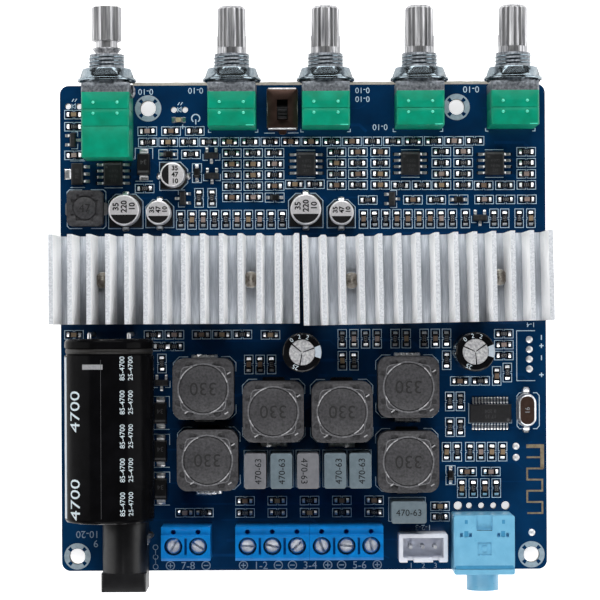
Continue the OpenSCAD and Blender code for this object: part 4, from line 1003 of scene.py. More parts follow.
    def diodes(self, shop: Workshop) -> None:
        """Rebuilds the small diodes and the four power diodes."""
        parts, ink = Shape(), Shape()
        for box in solid_boxes(shop.node("diodes")):
            x, y, _ = box.mid
            upright = box.size.y > box.size.x
            turn = 90 if upright else 0
            length, width = (box.size.y, box.size.x) if upright else (box.size.x, box.size.y)
            power = length > 4
            size = Vector((length + (0.4 if power else 0), width, box.size.z))
            part = self.two_sided(size, length - (0.9 if power else 1.0), 1, 1.0, 1.6 if power else 0.55)
            part.add(block(0.4 if power else 0.25, width - 0.5, INK, 0.012, 3).at(-length / 2 + (1.1 if power else 0.85),
                                                                             0, box.size.z - 0.01))
            if power:
                part.add(digits("34", 1.0, INK, 3).at(0.4, 0, box.size.z - 0.01, 90))
            parts.add(part.at(x, y, TOP + 0.02, turn))
            half = (length / 2 + 0.75, width / 2 + 0.45) if power else (1.95, 0.95)
            mark = Shape()
            if power:
                mark.add(strip([(1.2, -half[1]), (half[0], -half[1]), (half[0], half[1]), (1.2, half[1])], self.line, 0, INK))
                mark.add(strip([(-half[0], -half[1]), (-half[0], half[1])], self.line, 0, INK))
            else:
                mark.add(bracket(half[0], half[1], 0.2, self.line))
            ink.add(mark.at(x, y, TOP, turn))
        shop.piece("diode_parts", parts, (EPOXY_DARK, TIN_END, SOLDER, CHIP_INK), replaces=("diodes",))
        shop.piece("diode_outlines", ink, (LEGEND,))

    def transistors(self, shop: Workshop) -> None:
        """Rebuilds the three-legged transistors and the regulator."""
        parts, ink = Shape(), Shape()
        single = {(-47.3, 38.8): 90, (-24.7, 26.7): -90, (18.4, 26.4): 90}
        for box in solid_boxes(shop.node("transistors")):
            x, y, _ = box.mid
            if box.size.y > 4:
                part = self.body(2.5, 4.5, 1.5)
                part.add(self.lead(1.25, 2.2, 0.5, 0.5)).add(self.lead(1.25, 2.2, 0.5, 0.5).at(0, 1.5, 0))
                part.add(self.lead(1.25, 2.2, 0.5, 0.5).at(0, -1.5, 0))
                part.add(self.lead(1.25, 2.3, 0.5, 1.9).at(0, 0, 0, 180))
                part.add(digits("75 05", 0.7, INK, 3).at(0, 0, 1.59, 90))
                parts.add(part.at(x, y, TOP + 0.02))
                ink.add(strip([(x - 1.5, y + 2.75), (x + 1.5, y + 2.75)], self.line, TOP, TOP + INK))
                ink.add(strip([(x - 1.5, y - 2.75), (x + 1.5, y - 2.75)], self.line, TOP, TOP + INK))
                continue
            turn = next((angle for (px, py), angle in single.items()
                         if abs(px - x) < 1 and abs(py + CENTRE_Y - y) < 1), 0)
            part = self.body(2.9, 1.3, box.size.z - 0.1)
            part.add(self.lead(0.62, 1.3, 0.55, 0.45).at(0, 0, 0, -90))
            for side in (-0.95, 0.95):
                part.add(self.lead(0.62, 1.3, 0.55, 0.45).at(0, 0, 0, 90).at(side, 0, 0))
            part.add(digits("1 6", 0.6, INK, 3).at(0, 0, box.size.z - 0.01))
            parts.add(part.at(x, y, TOP + 0.02, turn))
            mark = Shape()
            for side in (-1, 1):
                path = [(side * 0.75, -0.95), (side * 1.75, -0.95), (side * 1.75, 0.4)]
                mark.add(strip(path if side > 0 else path[::-1], self.line, 0, INK))
            ink.add(mark.at(x, y, TOP, turn))
        shop.piece("transistor_parts", parts, (EPOXY, TIN_END, SOLDER, CHIP_INK), replaces=("transistors",))
        shop.piece("transistor_outlines", ink, (LEGEND,))

    def dress(self, shop: Workshop) -> None:
        """Rebuilds every moulded chip."""
        self.signal_chips(shop)
        self.diodes(shop)
        self.transistors(shop)


@dataclass(frozen=True)
class BoardPrint:
    """The board's own look: mask, laminate edge, rings, legend, bare pads and the antenna.

    Attributes:
        line: Width of the legend's lines.
        figures: Printed figures, each with its place from the board's centre, its height and its turn.
        holes: Holes that the copper lines keep clear of, from the board's centre.
        worn_y: Distance from the board's centre below which the ink is rubbed thin.
    """

    line: float = 0.15
    worn_y: float = -41.0
    figures: tuple[tuple[str, float, float, float, float], ...] = (
        ("0-10", -32.3, 48.7, 1.25, 180), ("0-10", -22.0, 48.9, 1.25, 180), ("0-10", 12.4, 48.8, 1.2, 180),
        ("0-10", 12.4, 47.0, 1.2, 180), ("0-10", 16.0, 41.2, 1.25, 180), ("0-10", 34.8, 48.9, 1.35, 180),
        ("7-8", -24.0, -49.0, 1.6, 0), ("1-2", -9.0, -49.0, 1.6, 0), ("3-4", 1.15, -49.0, 1.6, 0),
        ("5-6", 11.35, -49.0, 1.6, 0), ("1-2-3", 24.5, -41.4, 1.15, 180), ("1", 22.0, -49.2, 1.15, 0),
        ("2", 24.5, -49.2, 1.15, 0), ("3", 27.0, -49.2, 1.15, 0), ("1-4", 46.9, 0.3, 1.0, 180),
        ("9", -43.0, -44.4, 1.5, 180), ("10-20", -44.7, -42.5, 1.5, 180))
    holes: tuple[Point2, ...] = ((-46.8, -47), (46.8, -47), (-31.8, 45.3), (31.8, 45.3), (-47.1, 45.8), (-25.3, 45),
                                 (36.5, -36.9), (32, -36.9), (41, -36.9))

    def coat(self, shop: Workshop) -> None:
        """Gives the board its mask, with bare laminate on its cut edges, hole walls and snapped rear edge."""
        board = shop.coat("circuit_board", MASK)
        board.data.materials.append(LAMINATE.make())
        for face in board.data.polygons:
            face.material_index = 0 if abs(face.normal.z) > 0.5 else 1
        rear = node_box("circuit_board").hi.y
        rng = random.Random(8)
        xs = [-35 + 1.5 * i for i in range(50)]
        rings = [[(x, rear - 0.1, 0.3), (x, rear - 0.1, 1.45), (x, rear + reach, 1.4), (x, rear + reach + 0.08, 0.35)]
                 for x, reach in ((x, 0.62 + rng.uniform(-0.05, 0.05)) for x in xs)]
        shop.piece("snapped_edge", sweep([points[::-1] for points in rings], 0), (LAMINATE,))

    def copper(self, shop: Workshop) -> None:
        """Lays faint copper lines under the mask between the parts."""
        rng = random.Random(5)
        lines = Shape()
        for row in range(26):
            y = -47 + row * 3.7 + rng.uniform(-0.5, 0.5)
            x = -47 + rng.uniform(0, 8)
            while x < 44:
                run = rng.uniform(4, 14)
                jog = rng.choice((-1.4, -0.8, 0.8, 1.4))
                end = min(x + run, 47)
                path = [(x, y), (end - 1.5, y), (end, y + jog)]
                clear = all(math.hypot(max(x - hx, 0, hx - end), y - hy) > 4.2 for hx, hy in self.holes)
                if end - x > 3 and -48 < y + jog < 48 and clear:
                    lines.add(strip([(px, py + CENTRE_Y) for px, py in path], rng.choice((0.25, 0.35, 0.6)),
                                    TOP - 0.01, TOP + 0.012))
                x = end + rng.uniform(2, 6)
        shop.piece("copper_lines", lines, (TRACE,))

    def rings(self, shop: Workshop) -> None:
        """Rings the mounting holes with tinned copper in four arcs."""
        pads = Shape()
        for x, y in ((-46.8, 0.0), (46.8, 0.0), (-31.8, 92.3), (31.8, 92.3)):
            for k in range(4):
                pads.add(ring(2.72, 1.66, 0, INK, 0, 55 + 90 * k, 70).at(x, y, TOP))
                pads.add(ring(2.72, 2.4, 0, INK, 0, 35 + 90 * k, 20).at(x, y, TOP))
        shop.piece("hole_rings", pads, (PAD,))

    def bare_metal(self, shop: Workshop) -> None:
        """Adds the four-pad row, the link pads and the meander antenna."""
        domes = Shape()
        dome = lathe(((0.72, 0.0), (0.7, 0.03), (0.55, 0.13), (0.28, 0.2), (0.05, 0.22)), 20)
        for i in range(4):
            domes.add(dome.at(46.55, CENTRE_Y - 2.7 - 2.03 * i, TOP))
        for i in range(2):
            domes.add(dome.at(43.7, CENTRE_Y - 24.7 - 2.3 * i, TOP))
        domes.add(dome.at(46.9, CENTRE_Y - 42.5, TOP))
        shop.piece("bare_pad_solder", domes, (PAD_ROUND,))
        gold = Shape()
        left, right, y0, step = 46.0, 49.1, CENTRE_Y - 24.7, 2.3
        gold.add(strip([(left - 0.15, y0), (right, y0), (right, y0 - 2 * step)], 0.75, TOP, TOP + INK))
        gold.add(strip([(left - 0.1, y0 - step), (right - 0.3, y0 - step)], 0.36, TOP, TOP + INK))
        path: list[Point2] = [(right, y0 - 2 * step + 0.2)]
        for k in range(3):
            y = y0 - 2 * step * (k + 1)
            path += [(right, y), (left, y)] if k == 2 else [(right, y), (left, y), (left, y - step), (right, y - step)]
        gold.add(strip(path, 0.36, TOP, TOP + INK))
        shop.piece("antenna", gold, (GOLD,))

    def lamp_sign(self) -> Shape:
        """Returns the sign of a lamp: a triangle, a bar and two short strokes."""
        sign = Shape()
        sign.add(strip([(0.35, -0.5), (0.35, 0.5), (-0.35, 0.0), (0.35, -0.5)], 0.13, 0, INK))
        sign.add(strip([(-0.35, -0.5), (-0.35, 0.5)], 0.13, 0, INK))
        for dx in (-0.35, 0.25):
            sign.add(strip([(dx, 0.95), (dx + 0.4, 1.55)], 0.16, 0, INK))
        return sign

    def cross(self, size: float, line: float) -> Shape:
        """Returns a plus sign as one closed outline."""
        s, w = size / 2, line / 2
        outline = [(w, -s), (w, -w), (s, -w), (s, w), (w, w), (w, s), (-w, s), (-w, w), (-s, w), (-s, -w), (-w, -w),
                   (-w, -s)]
        return prism(outline, 0, INK)

    def signs(self) -> Shape:
        """Lays out polarity signs, the power sign, lamp signs and part outlines.

        Returns:
            The legend in the part's frame.
        """
        ink = Shape()

        def put(shape: Shape, x: float, y: float, turn: float = 0.0) -> None:
            """Adds one sign at a place given from the board's centre."""
            ink.add(shape.at(x, y + CENTRE_Y, TOP, turn))

        put(self.lamp_sign(), -47.15, 45.8)
        put(self.lamp_sign(), -25.35, 45.0)
        put(self.cross(0.95, 0.2), -24.7, 41.5)
        put(ring(0.95, 0.7, 0, INK, 0, -55, 290), -22.0, 43.2)
        put(strip([(0, -0.2), (0, -1.25)], 0.24, 0, INK), -22.0, 43.2)
        minus = strip([(-0.5, 0), (0.5, 0)], 0.22, 0, INK)
        for x, plus in ((-27.65, True), (-20.3, False), (-12.6, True), (-5.4, False), (-2.5, False), (4.8, True),
                        (7.65, False), (15.0, True)):
            put(circle(0.85, 0.2), x, -49.0)
            put(self.cross(1.05, 0.22) if plus else minus, x, -49.0)
        for text, x, y, height, turn in self.figures:
            put(digits(text, height, INK), x, y, turn)
        for x in (-6.8, -1.9):
            put(strip([(-1.1, 0), (1.1, 0)], self.line, 0, INK), x, 40.1)
        put(circle(0.5, 0.13), -30.7, -45.2)
        put(circle(0.5, 0.13), -30.7, -49.2)
        put(strip([(-30.7, -45.7), (-30.7, -46.8)], 0.13, 0, INK), 0, 0)
        put(strip([(-30.7, -47.4), (-30.7, -48.7)], 0.13, 0, INK), 0, 0)
        put(ring(0.55, 0.42, 0, INK, 0, 120, 300), -30.7, -47.2)
        for y, plus in ((-2.3, False), (-4.0, True), (-6.5, False), (-10.0, True)):
            put(self.cross(0.9, 0.24) if plus else minus, 49.05, y, 90)
        put(strip([(47.75, -0.9), (43.95, -0.9), (43.95, -11.2), (47.75, -11.2)], self.line, 0, INK), 0, 0)
        put(self.cross(1.6, 0.32), -47.6, -4.2)
        for x in (-39.7, -14.3, 4.75, 23.8, 42.85):
            rear = 34.9 if x < -30 else 40.3
            for side in (-1, 1):
                corner = [(side * 4.5, 0), (side * 5.1, 0), (side * 5.1, 0.6)]
                put(strip(corner if side > 0 else corner[::-1], self.line, 0, INK), x, rear)
        return ink

    def outlines(self) -> Shape:
        """Draws the outlines round cans, coils, the crystal and the row of holes.

        Returns:
            The legend in the part's frame.
        """
        ink = Shape()
        cans = ((-26.6, 31.3, 5.0, -90), (-36.5, 24.1, 6.3, 0), (-29.5, 23.6, 5.0, 0), (0.6, 24.1, 6.3, 0),
                (7.9, 23.4, 5.0, 0))
        for x, y, size, turn in cans:
            half, cut, gap = size / 2 + 0.4, 1.5, 0.9
            frame = Shape()
            for side in (-1, 1):
                path = [(side * gap, half), (side * (half - cut), half), (side * half, half - cut), (side * half, -half),
                        (side * gap, -half)]
                frame.add(strip(path[::-1] if side > 0 else path, self.line, 0, INK))
            ink.add(frame.at(x, y + CENTRE_Y, TOP, turn))
        half = 4.0
        for quarter in range(4):
            path = [(0.9, half), (half - 0.5, half), (half, half - 0.5), (half, 0.9)]
            ink.add(strip(path, self.line, 0, INK).at(-44.6, CENTRE_Y + 24.6, TOP, 90 * quarter))
        for side in (-1, 1):
            path = [(side * 1.0, 3.7), (side * 1.8, 3.7), (side * 2.3, 3.1), (side * 2.3, -3.1), (side * 1.8, -3.7),
                    (side * 1.0, -3.7)]
            ink.add(strip(path[::-1] if side < 0 else path, self.line, 0, INK).at(46.25, CENTRE_Y - 17.4, TOP))
        for x, y in ((-20.4, -12.4), (-19.6, -26.9), (-6.2, -17.1), (7.8, -17.2), (21.3, -12.2), (21.2, -27.4)):
            for quarter in range(4):
                path = [(6.45, 3.4), (6.45, 5.2), (5.2, 6.45), (3.4, 6.45)]
                ink.add(strip(path, self.line, 0, INK).at(x, y + CENTRE_Y, TOP, 90 * quarter))
        return ink

    def dress(self, shop: Workshop) -> None:
        """Dresses the bare board."""
        self.coat(shop)
        self.copper(shop)
        self.rings(shop)
        self.bare_metal(shop)
        signs = self.signs()
        signs.slots = [int(signs.points[face[0]].y < CENTRE_Y + self.worn_y) for face in signs.faces]
        shop.piece("legend_signs", signs, (LEGEND, LEGEND_WORN))
        shop.piece("legend_outlines", self.outlines(), (LEGEND,))


@dataclass(frozen=True)
class Heatsinks:
    """Extruded heatsinks with softened fin edges and burrs round the screw tips.

    Attributes:
        edge: Width of the softened edges.
        burr: Radius of the burr's middle and of its section.
    """

    edge: float = 0.12
    burr: Point2 = (1.62, 0.16)

    def dress(self, shop: Workshop) -> None:
        """Coats the heatsinks and adds burrs and thread turns to their screws."""
        for node in ("heatsink_left", "heatsink_right"):
            obj = shop.coat(node, EXTRUSION)
            obj.data.materials.append(FIN_FLANK_PAINTED_LIGHT.make())
            obj.data.materials.append(FIN_TIP_PAINTED_LIGHT.make())
            tips = node_box(node).hi.z - 0.3
            # Side faces get the painted light of the flanks; upward faces near the fins' tips get the painted highlight
            # of the tips.
            for face in obj.data.polygons:
                if abs(face.normal.x) > 0.7:
                    face.material_index = 1
                elif face.normal.z > 0.7 and face.center.z / MM > tips:
                    face.material_index = 2
            shop.soften(node, self.edge)
        shop.coat("heatsink_screws", SCREW)
        burrs, threads = Shape(), Shape()
        rng = random.Random(3)
        base = node_box("heatsink_left").lo.z + 3.0
        radius, thick = self.burr
        for box in solid_boxes(shop.node("heatsink_screws")):
            rings = []
            for i in range(28):
                a = math.tau * i / 28
                r, t = radius + rng.uniform(-0.07, 0.1), thick * rng.uniform(0.7, 1.3)
                section = [(r + t, base - 0.1), (r + t * 0.3, base + t), (r - t * 0.6, base + t * 1.2), (r - t, base - 0.1)]
                rings.append([(q * math.cos(a), q * math.sin(a), z) for q, z in section])
            burrs.add(sweep([ring_[::-1] for ring_ in rings], 0, True).at(box.mid.x, box.mid.y, 0))
            top = box.hi.z - 1.4
            for k in range(3):
                z = top - 0.25 - 0.55 * k
                threads.add(lathe(((1.3, z - 0.16), (1.6, z), (1.62, z + 0.04), (1.3, z + 0.16)), 24).at(
                    box.mid.x, box.mid.y, 0))
        shop.piece("screw_burrs", burrs, (EXTRUSION,))
        shop.piece("screw_threads", threads, (SCREW,))


ALONG_Y = Matrix.Rotation(math.radians(-90), 4, "X")
POTS = {"volume": -39.7, "treble": -14.3, "level": 4.75, "crossover": 23.8, "bass": 42.85}


def wrap(shape: Shape, radius: float, axis: Point2, step: float = 0.6) -> Shape:
    """Bends flat print round a cylinder that lies along Y.

    Args:
        shape: Print in X and Y, X running round the cylinder from its top towards +X.
        radius: Radius of the cylinder.
        axis: X and Z of the cylinder's axis.
        step: Longest stretch of print that stays flat.

    Returns:
        The bent print.
    """
    mesh = bmesh.new()
    verts = [mesh.verts.new(point) for point in shape.points]
    for face, slot in zip(shape.faces, shape.slots):
        mesh.faces.new([verts[index] for index in face]).material_index = slot
    xs = [point.x for point in shape.points]
    for k in range(math.ceil(min(xs) / step), math.floor(max(xs) / step) + 1):
        bmesh.ops.bisect_plane(mesh, geom=mesh.verts[:] + mesh.edges[:] + mesh.faces[:], plane_co=(k * step, 0, 0),
                               plane_no=(1, 0, 0))
    mesh.verts.index_update()
    bent = Shape()
    for x, y, z in (vert.co for vert in mesh.verts):
        angle = x / radius
        bent.points.append(Vector((axis[0] + (radius + z) * math.sin(angle), y, axis[1] + (radius + z) * math.cos(angle))))
    bent.faces = [tuple(vert.index for vert in face.verts) for face in mesh.faces]
    bent.slots = [face.material_index for face in mesh.faces]
    mesh.free()
    return bent


@dataclass(frozen=True)
class Controls:
    """Potentiometers: threads, lock-washer teeth, cast fronts with hooks, and their shafts.

    Attributes:
        axis_z: Height of the shafts' axis.
        face_y: Y of the cast fronts' faces.
        thread: Start and end of the bushing's free thread, from the face.
        pitch: Pitch of the thread.
        bushing_r: Radius of the bushing.
        washer_z: Height of the lock washer's teeth above the face.
        dot_y: How far behind its front a housing's two rows of raised dots lie.
    """

    axis_z: float = 8.4
    face_y: float = 96.5
    thread: Point2 = (3.15, 5.95)
    pitch: float = 0.75
    bushing_r: float = 3.5
    washer_z: float = 0.52
    dot_y: Point2 = (2.1, 4.3)

    def place(self, x: float) -> Matrix:
        """Returns the place of one control, with local +Z along its shaft."""
        return Matrix.Translation((x, self.face_y, self.axis_z)) @ ALONG_Y

    def thread_turns(self) -> Shape:
        """Returns the helical ridge of one bushing's thread."""
        start, end = self.thread
        steps, turns = 28, (end - start - 0.3) / self.pitch
        r = self.bushing_r
        rings = []
        for i in range(round(steps * turns) + 1):
            a = math.tau * i / steps
            z = start + 0.15 + self.pitch * i / steps
            section = [(r - 0.12, z - 0.3), (r + 0.17, z - 0.05), (r + 0.17, z + 0.05), (r - 0.12, z + 0.3)]
            rings.append([(q * math.cos(a), q * math.sin(a), h) for q, h in section])
        return sweep(rings, 0)

    def washer_teeth(self) -> Shape:
        """Returns the bent teeth round one lock washer."""
        teeth = Shape()
        for k in range(8):
            tooth = prism([(4.3, -0.5), (5.7, -0.75), (5.7, 0.75), (4.3, 0.5)], 0.0, 0.22, 0)
            lean = Matrix.Rotation(math.radians(45 * k + 20), 4, "Z") @ Matrix.Rotation(math.radians(12), 4, "X")
            teeth.add(tooth, Matrix.Translation((0, 0, self.washer_z)) @ lean)
        return teeth

    def hook(self) -> Shape:
        """Returns the cast lug beside the front plate, folded over the wafers."""
        path = [(5.0, 1.2, -0.2), (5.35, 0.5, -0.9), (5.45, -0.6, -1.9), (5.3, -1.6, -2.6), (5.0, -2.6, -2.8)]
        hook = wire(path, 0.34, 1, 8)
        hook.add(block(0.9, 1.4, 0.5, 0.12, 1), Matrix.Translation((5.05, 1.6, -1.9)))
        return hook

    def glints(self) -> Shape:
        """Returns painted highlights: pale caps on the housings' raised dots, and a bright burr behind each short
        housing.
        """
        tops = Shape()
        for name in POTS:
            box = node_box(f"{name}_pot_housing")
            for side in (-1, 1):
                for k in range(2):
                    dome = lathe(((0.32, -0.18), (0.3, -0.02), (0.2, 0.05), (0.04, 0.07)), 16)
                    tops.add(dome.at(box.mid.x + side * box.size.x / 4, box.hi.y - self.dot_y[k], box.hi.z))
            if name != "volume":
                burr = strip([(2.9, 0), (4.5, 0)], 0.2, -0.3, -0.02)
                tops.add(burr.at(box.mid.x, box.lo.y + 0.12, box.hi.z - 0.15))
        return tops

    def dress(self, shop: Workshop) -> None:
        """Coats the controls and adds their metalwork."""
        shop.coat("pot_fronts", CAST)
        shop.soften("pot_fronts", 0.1)
        metal = Shape()
        for name, x in POTS.items():
            shop.coat(f"{name}_pot_housing", GREEN)
            shop.soften(f"{name}_pot_housing", 0.06)
            shop.coat(f"{name}_shaft", TURNED)
            metal.add(self.thread_turns(), self.place(x))
            metal.add(self.washer_teeth(), self.place(x))
            if name == "volume":
                metal.add(self.hook(), self.place(x))
        shop.piece("pot_metalwork", metal, (NICKEL, CAST))
        shop.piece("pot_glints", self.glints(), (GREEN_PAINTED_GLINT,))
        for node in ("pot_washers", "pot_nuts"):
            shop.coat(node, NICKEL)
            shop.soften(node, 0.07)


@dataclass(frozen=True)
class SlideSwitch:
    """Slide switch: a polished shell with bright bent edges and a front tab.

    Attributes:
        tab: Width, reach and thickness of the tab.
    """

    tab: Point3 = (1.6, 0.75, 0.35)

    def dress(self, shop: Workshop) -> None:
        """Coats the switch and adds the shell's bent edges and its tab."""
        # The shell and its tab are painted dark brown as the reflection of the room.
        shop.coat("switch_shell", SHELL_PAINTED_REFLECTION)
        shop.soften("switch_shell", 0.06)
        shop.coat("switch_slider", BLACK)
        shop.soften("switch_slider", 0.08)
        box = node_box("switch_shell")
        edges, tab = Shape(), Shape()
        width, reach, thick = self.tab
        for y in (box.lo.y + 0.12, box.hi.y - 0.12):
            edges.add(wire([(box.lo.x + 0.3, y, box.hi.z - 0.14), (box.mid.x, y, box.hi.z - 0.1),
                            (box.hi.x - 0.3, y, box.hi.z - 0.14)], 0.17))
        for x in (box.lo.x + 0.08, box.hi.x - 0.08):
            edges.add(wire([(x, box.lo.y + 0.3, box.hi.z - 0.12), (x, box.mid.y, box.hi.z - 0.1),
                            (x, box.hi.y - 0.3, box.hi.z - 0.12)], 0.11))
        tab.add(prism(rounded(width, reach * 2, 0.5), 0, thick, 0, 0.06).at(box.mid.x, box.lo.y, TOP + 0.05))
        shop.piece("switch_bent_edges", edges, (STEEL,))
        shop.piece("switch_tab", tab, (SHELL_PAINTED_REFLECTION,))


@dataclass(frozen=True)
class Capacitors:
    """Electrolytic capacitors: sleeves, print, vents and polarity marks.

    Attributes:
        small_print: Figures printed small along the large sleeve.
        large_print: Figures printed large along the large sleeve.
    """

    small_print: tuple[str, str] = ("85-4700", "25-4700")
    large_print: str = "4700"

    def main_sleeve(self, shop: Workshop) -> None:
        """Prints the large capacitor and folds its sleeve's end over the bead."""
        shop.coat("main_capacitor", SLEEVE)
        box = node_box("main_capacitor")
        radius = box.size.x / 2
        axis = (box.mid.x, box.lo.z + radius)
        marks = Shape()
        for column, text in zip((3.28, 5.07), self.small_print):
            for k in range(5):
                marks.add(digits(text, 1.05, 0.1).at(column, box.hi.y - 5.9 - 6.75 * k, -0.06, 90))
        for y in (box.hi.y - 14.5, box.lo.y + 4.9):
            marks.add(digits(self.large_print, 3.0, 0.1).at(-7.2, y, -0.06, 90))
        # A wide pale band near the left edge: a painted reflection on the sleeve.
        marks.add(strip([(-12.2, box.lo.y + 0.9), (-12.2, box.hi.y - 3.7)], 3.2, -0.05, 0.035, 2))
        marks.add(strip([(-1.0, box.lo.y + 1.2), (-1.0, box.hi.y - 4.2)], 0.07, -0.04, 0.03, 1))
        # A short pale bar across the sleeve: a painted highlight of a lamp.
        marks.add(strip([(-5.0, box.hi.y - 5.6), (-0.6, box.hi.y - 5.6)], 1.0, -0.1, 0.03, 3))
        shop.piece("main_capacitor_print_and_painted_light", wrap(marks, radius, axis), (SLEEVE_INK, SEAM, STRIPE_INK_AND_REFLECTION, PALE_INK_AND_HIGHLIGHT))
        lip = Shape()
        for y, r, thick in ((box.hi.y - 0.35, radius - 0.55, 0.28), (box.lo.y + 0.3, radius - 0.5, 0.24)):
            rings = []
            for i in range(64):
                a = math.tau * i / 64
                q = r + 0.05 * math.sin(9 * a) + 0.04 * math.sin(23 * a + 1)
                rings.append([((q + thick * math.cos(b)) * math.cos(a), thick * 0.9 * math.sin(b),
                               (q + thick * math.cos(b)) * math.sin(a)) for b in
                              (math.tau * k / 8 for k in range(8))])
            lip.add(sweep(rings, 0, True).at(axis[0], y, axis[1]))
        # The bead takes slot 1, whose grey is a painted reflection band.
        bead = []
        for i in range(64):
            a = math.tau * i / 64
            bead.append([((radius - 0.62 + 0.5 * math.cos(b)) * math.cos(a), 0.7 * math.sin(b),
                          (radius - 0.62 + 0.5 * math.cos(b)) * math.sin(a)) for b in (math.tau * k / 10 for k in range(10))])
        lip.add(sweep(bead, 1, True).at(axis[0], box.hi.y - 2.5, axis[1]))
        shop.piece("main_capacitor_lips", lip, (SLEEVE_TAUT, SLEEVE_BEAD_PAINTED_REFLECTION))

    def radials(self, shop: Workshop) -> None:
        """Adds the bare tops, vents, stripes and figures of the upright capacitors."""
        shop.coat("radial_capacitors", SLEEVE_TAUT)
        metal, marks = Shape(), Shape()
        for index, box in enumerate(solid_boxes(shop.node("radial_capacitors"))):
            x, y, top = box.mid.x, box.mid.y, box.hi.z
            turn = 35 if index else 20
            for k in range(3):
                sector = [(0.1 * math.cos(math.radians(60)), 0.1 * math.sin(math.radians(60)))]
                sector += [(2.6 * math.cos(math.radians(a)), 2.6 * math.sin(math.radians(a))) for a in range(3, 118, 6)]
                metal.add(prism(sector, -0.3, -0.08, 0, 0.03).at(x, y, top, turn + 120 * k))
            metal.add(lathe(((2.62, -0.4), (2.62, -0.22)), 36).at(x, y, top))
            metal.add(ring(2.9, 2.6, -0.3, -0.04, 1).at(x, y, top))
            stripe = ring(3.9, 2.65, -0.08, 0.03, 1, -22, 40)
            marks.add(stripe.at(x, y, top, 4))
            for angle, figure in ((70, "2"), (100, "2"), (130, "0"), (245, "25")):
                a = math.radians(angle)
                marks.add(digits(figure, 0.9, 0.05, 0).at(x + 3.25 * math.cos(a), y + 3.25 * math.sin(a), top - 0.01,
                                                          angle - 90))
        shop.piece("radial_capacitor_tops", metal, (CAN_TOP, SLEEVE_TAUT))
        shop.piece("radial_capacitor_print", marks, (SLEEVE_INK, STRIPE_INK_AND_REFLECTION))

    def cans(self, shop: Workshop) -> None:
        """Prints the can capacitors' polarity segments and figures, and adds solder at their feet."""
        shop.coat("can_capacitors", CAN)
        shop.coat("can_capacitor_bases", BLACK)
        shop.soften("can_capacitor_bases", 0.1)
        marks, solder = Shape(), Shape()
        turns = {-26.6: -90}
        for box in solid_boxes(shop.node("can_capacitors")):
            x, y, top = box.mid.x, box.mid.y, box.hi.z
            radius = box.size.x / 2
            turn = next((t for px, t in turns.items() if abs(px - x) < 0.5), 0)
            face = radius - 0.34
            chord = math.degrees(math.acos(0.34))
            arc = [(face * math.cos(math.radians(a)), face * math.sin(math.radians(a)))
                   for a in (-90 - chord + 2 * chord * i / 20 for i in range(21))]
            marks.add(prism(arc, -0.02, 0.02).at(x, y, top, turn))
            for column, figure in ((-0.42, "35"), (0.0, "220" if radius > 3 else "47"), (0.42, "10")):
                text = digits(figure, radius * 0.38, INK, 0, 0.045).at(column * radius * 1.25, radius * 0.22, -0.005, 90)
                marks.add(text.at(x, y, top, turn))
            for side in (-1, 1):
                run = [(radius + reach, rise, half) for reach, rise, half in
                       ((0.0, 0.5, 0.5), (0.35, 0.42, 0.75), (0.7, 0.26, 0.7), (0.95, 0.04, 0.55))]
                solder.add(fillet(run, side).at(x, y, TOP, turn))
        shop.piece("can_print", marks, (CAN_INK,))
        shop.piece("can_solder", solder, (SOLDER,))

    def dress(self, shop: Workshop) -> None:
        """Dresses all the electrolytic capacitors."""
        self.main_sleeve(shop)
        self.radials(shop)
        self.cans(shop)


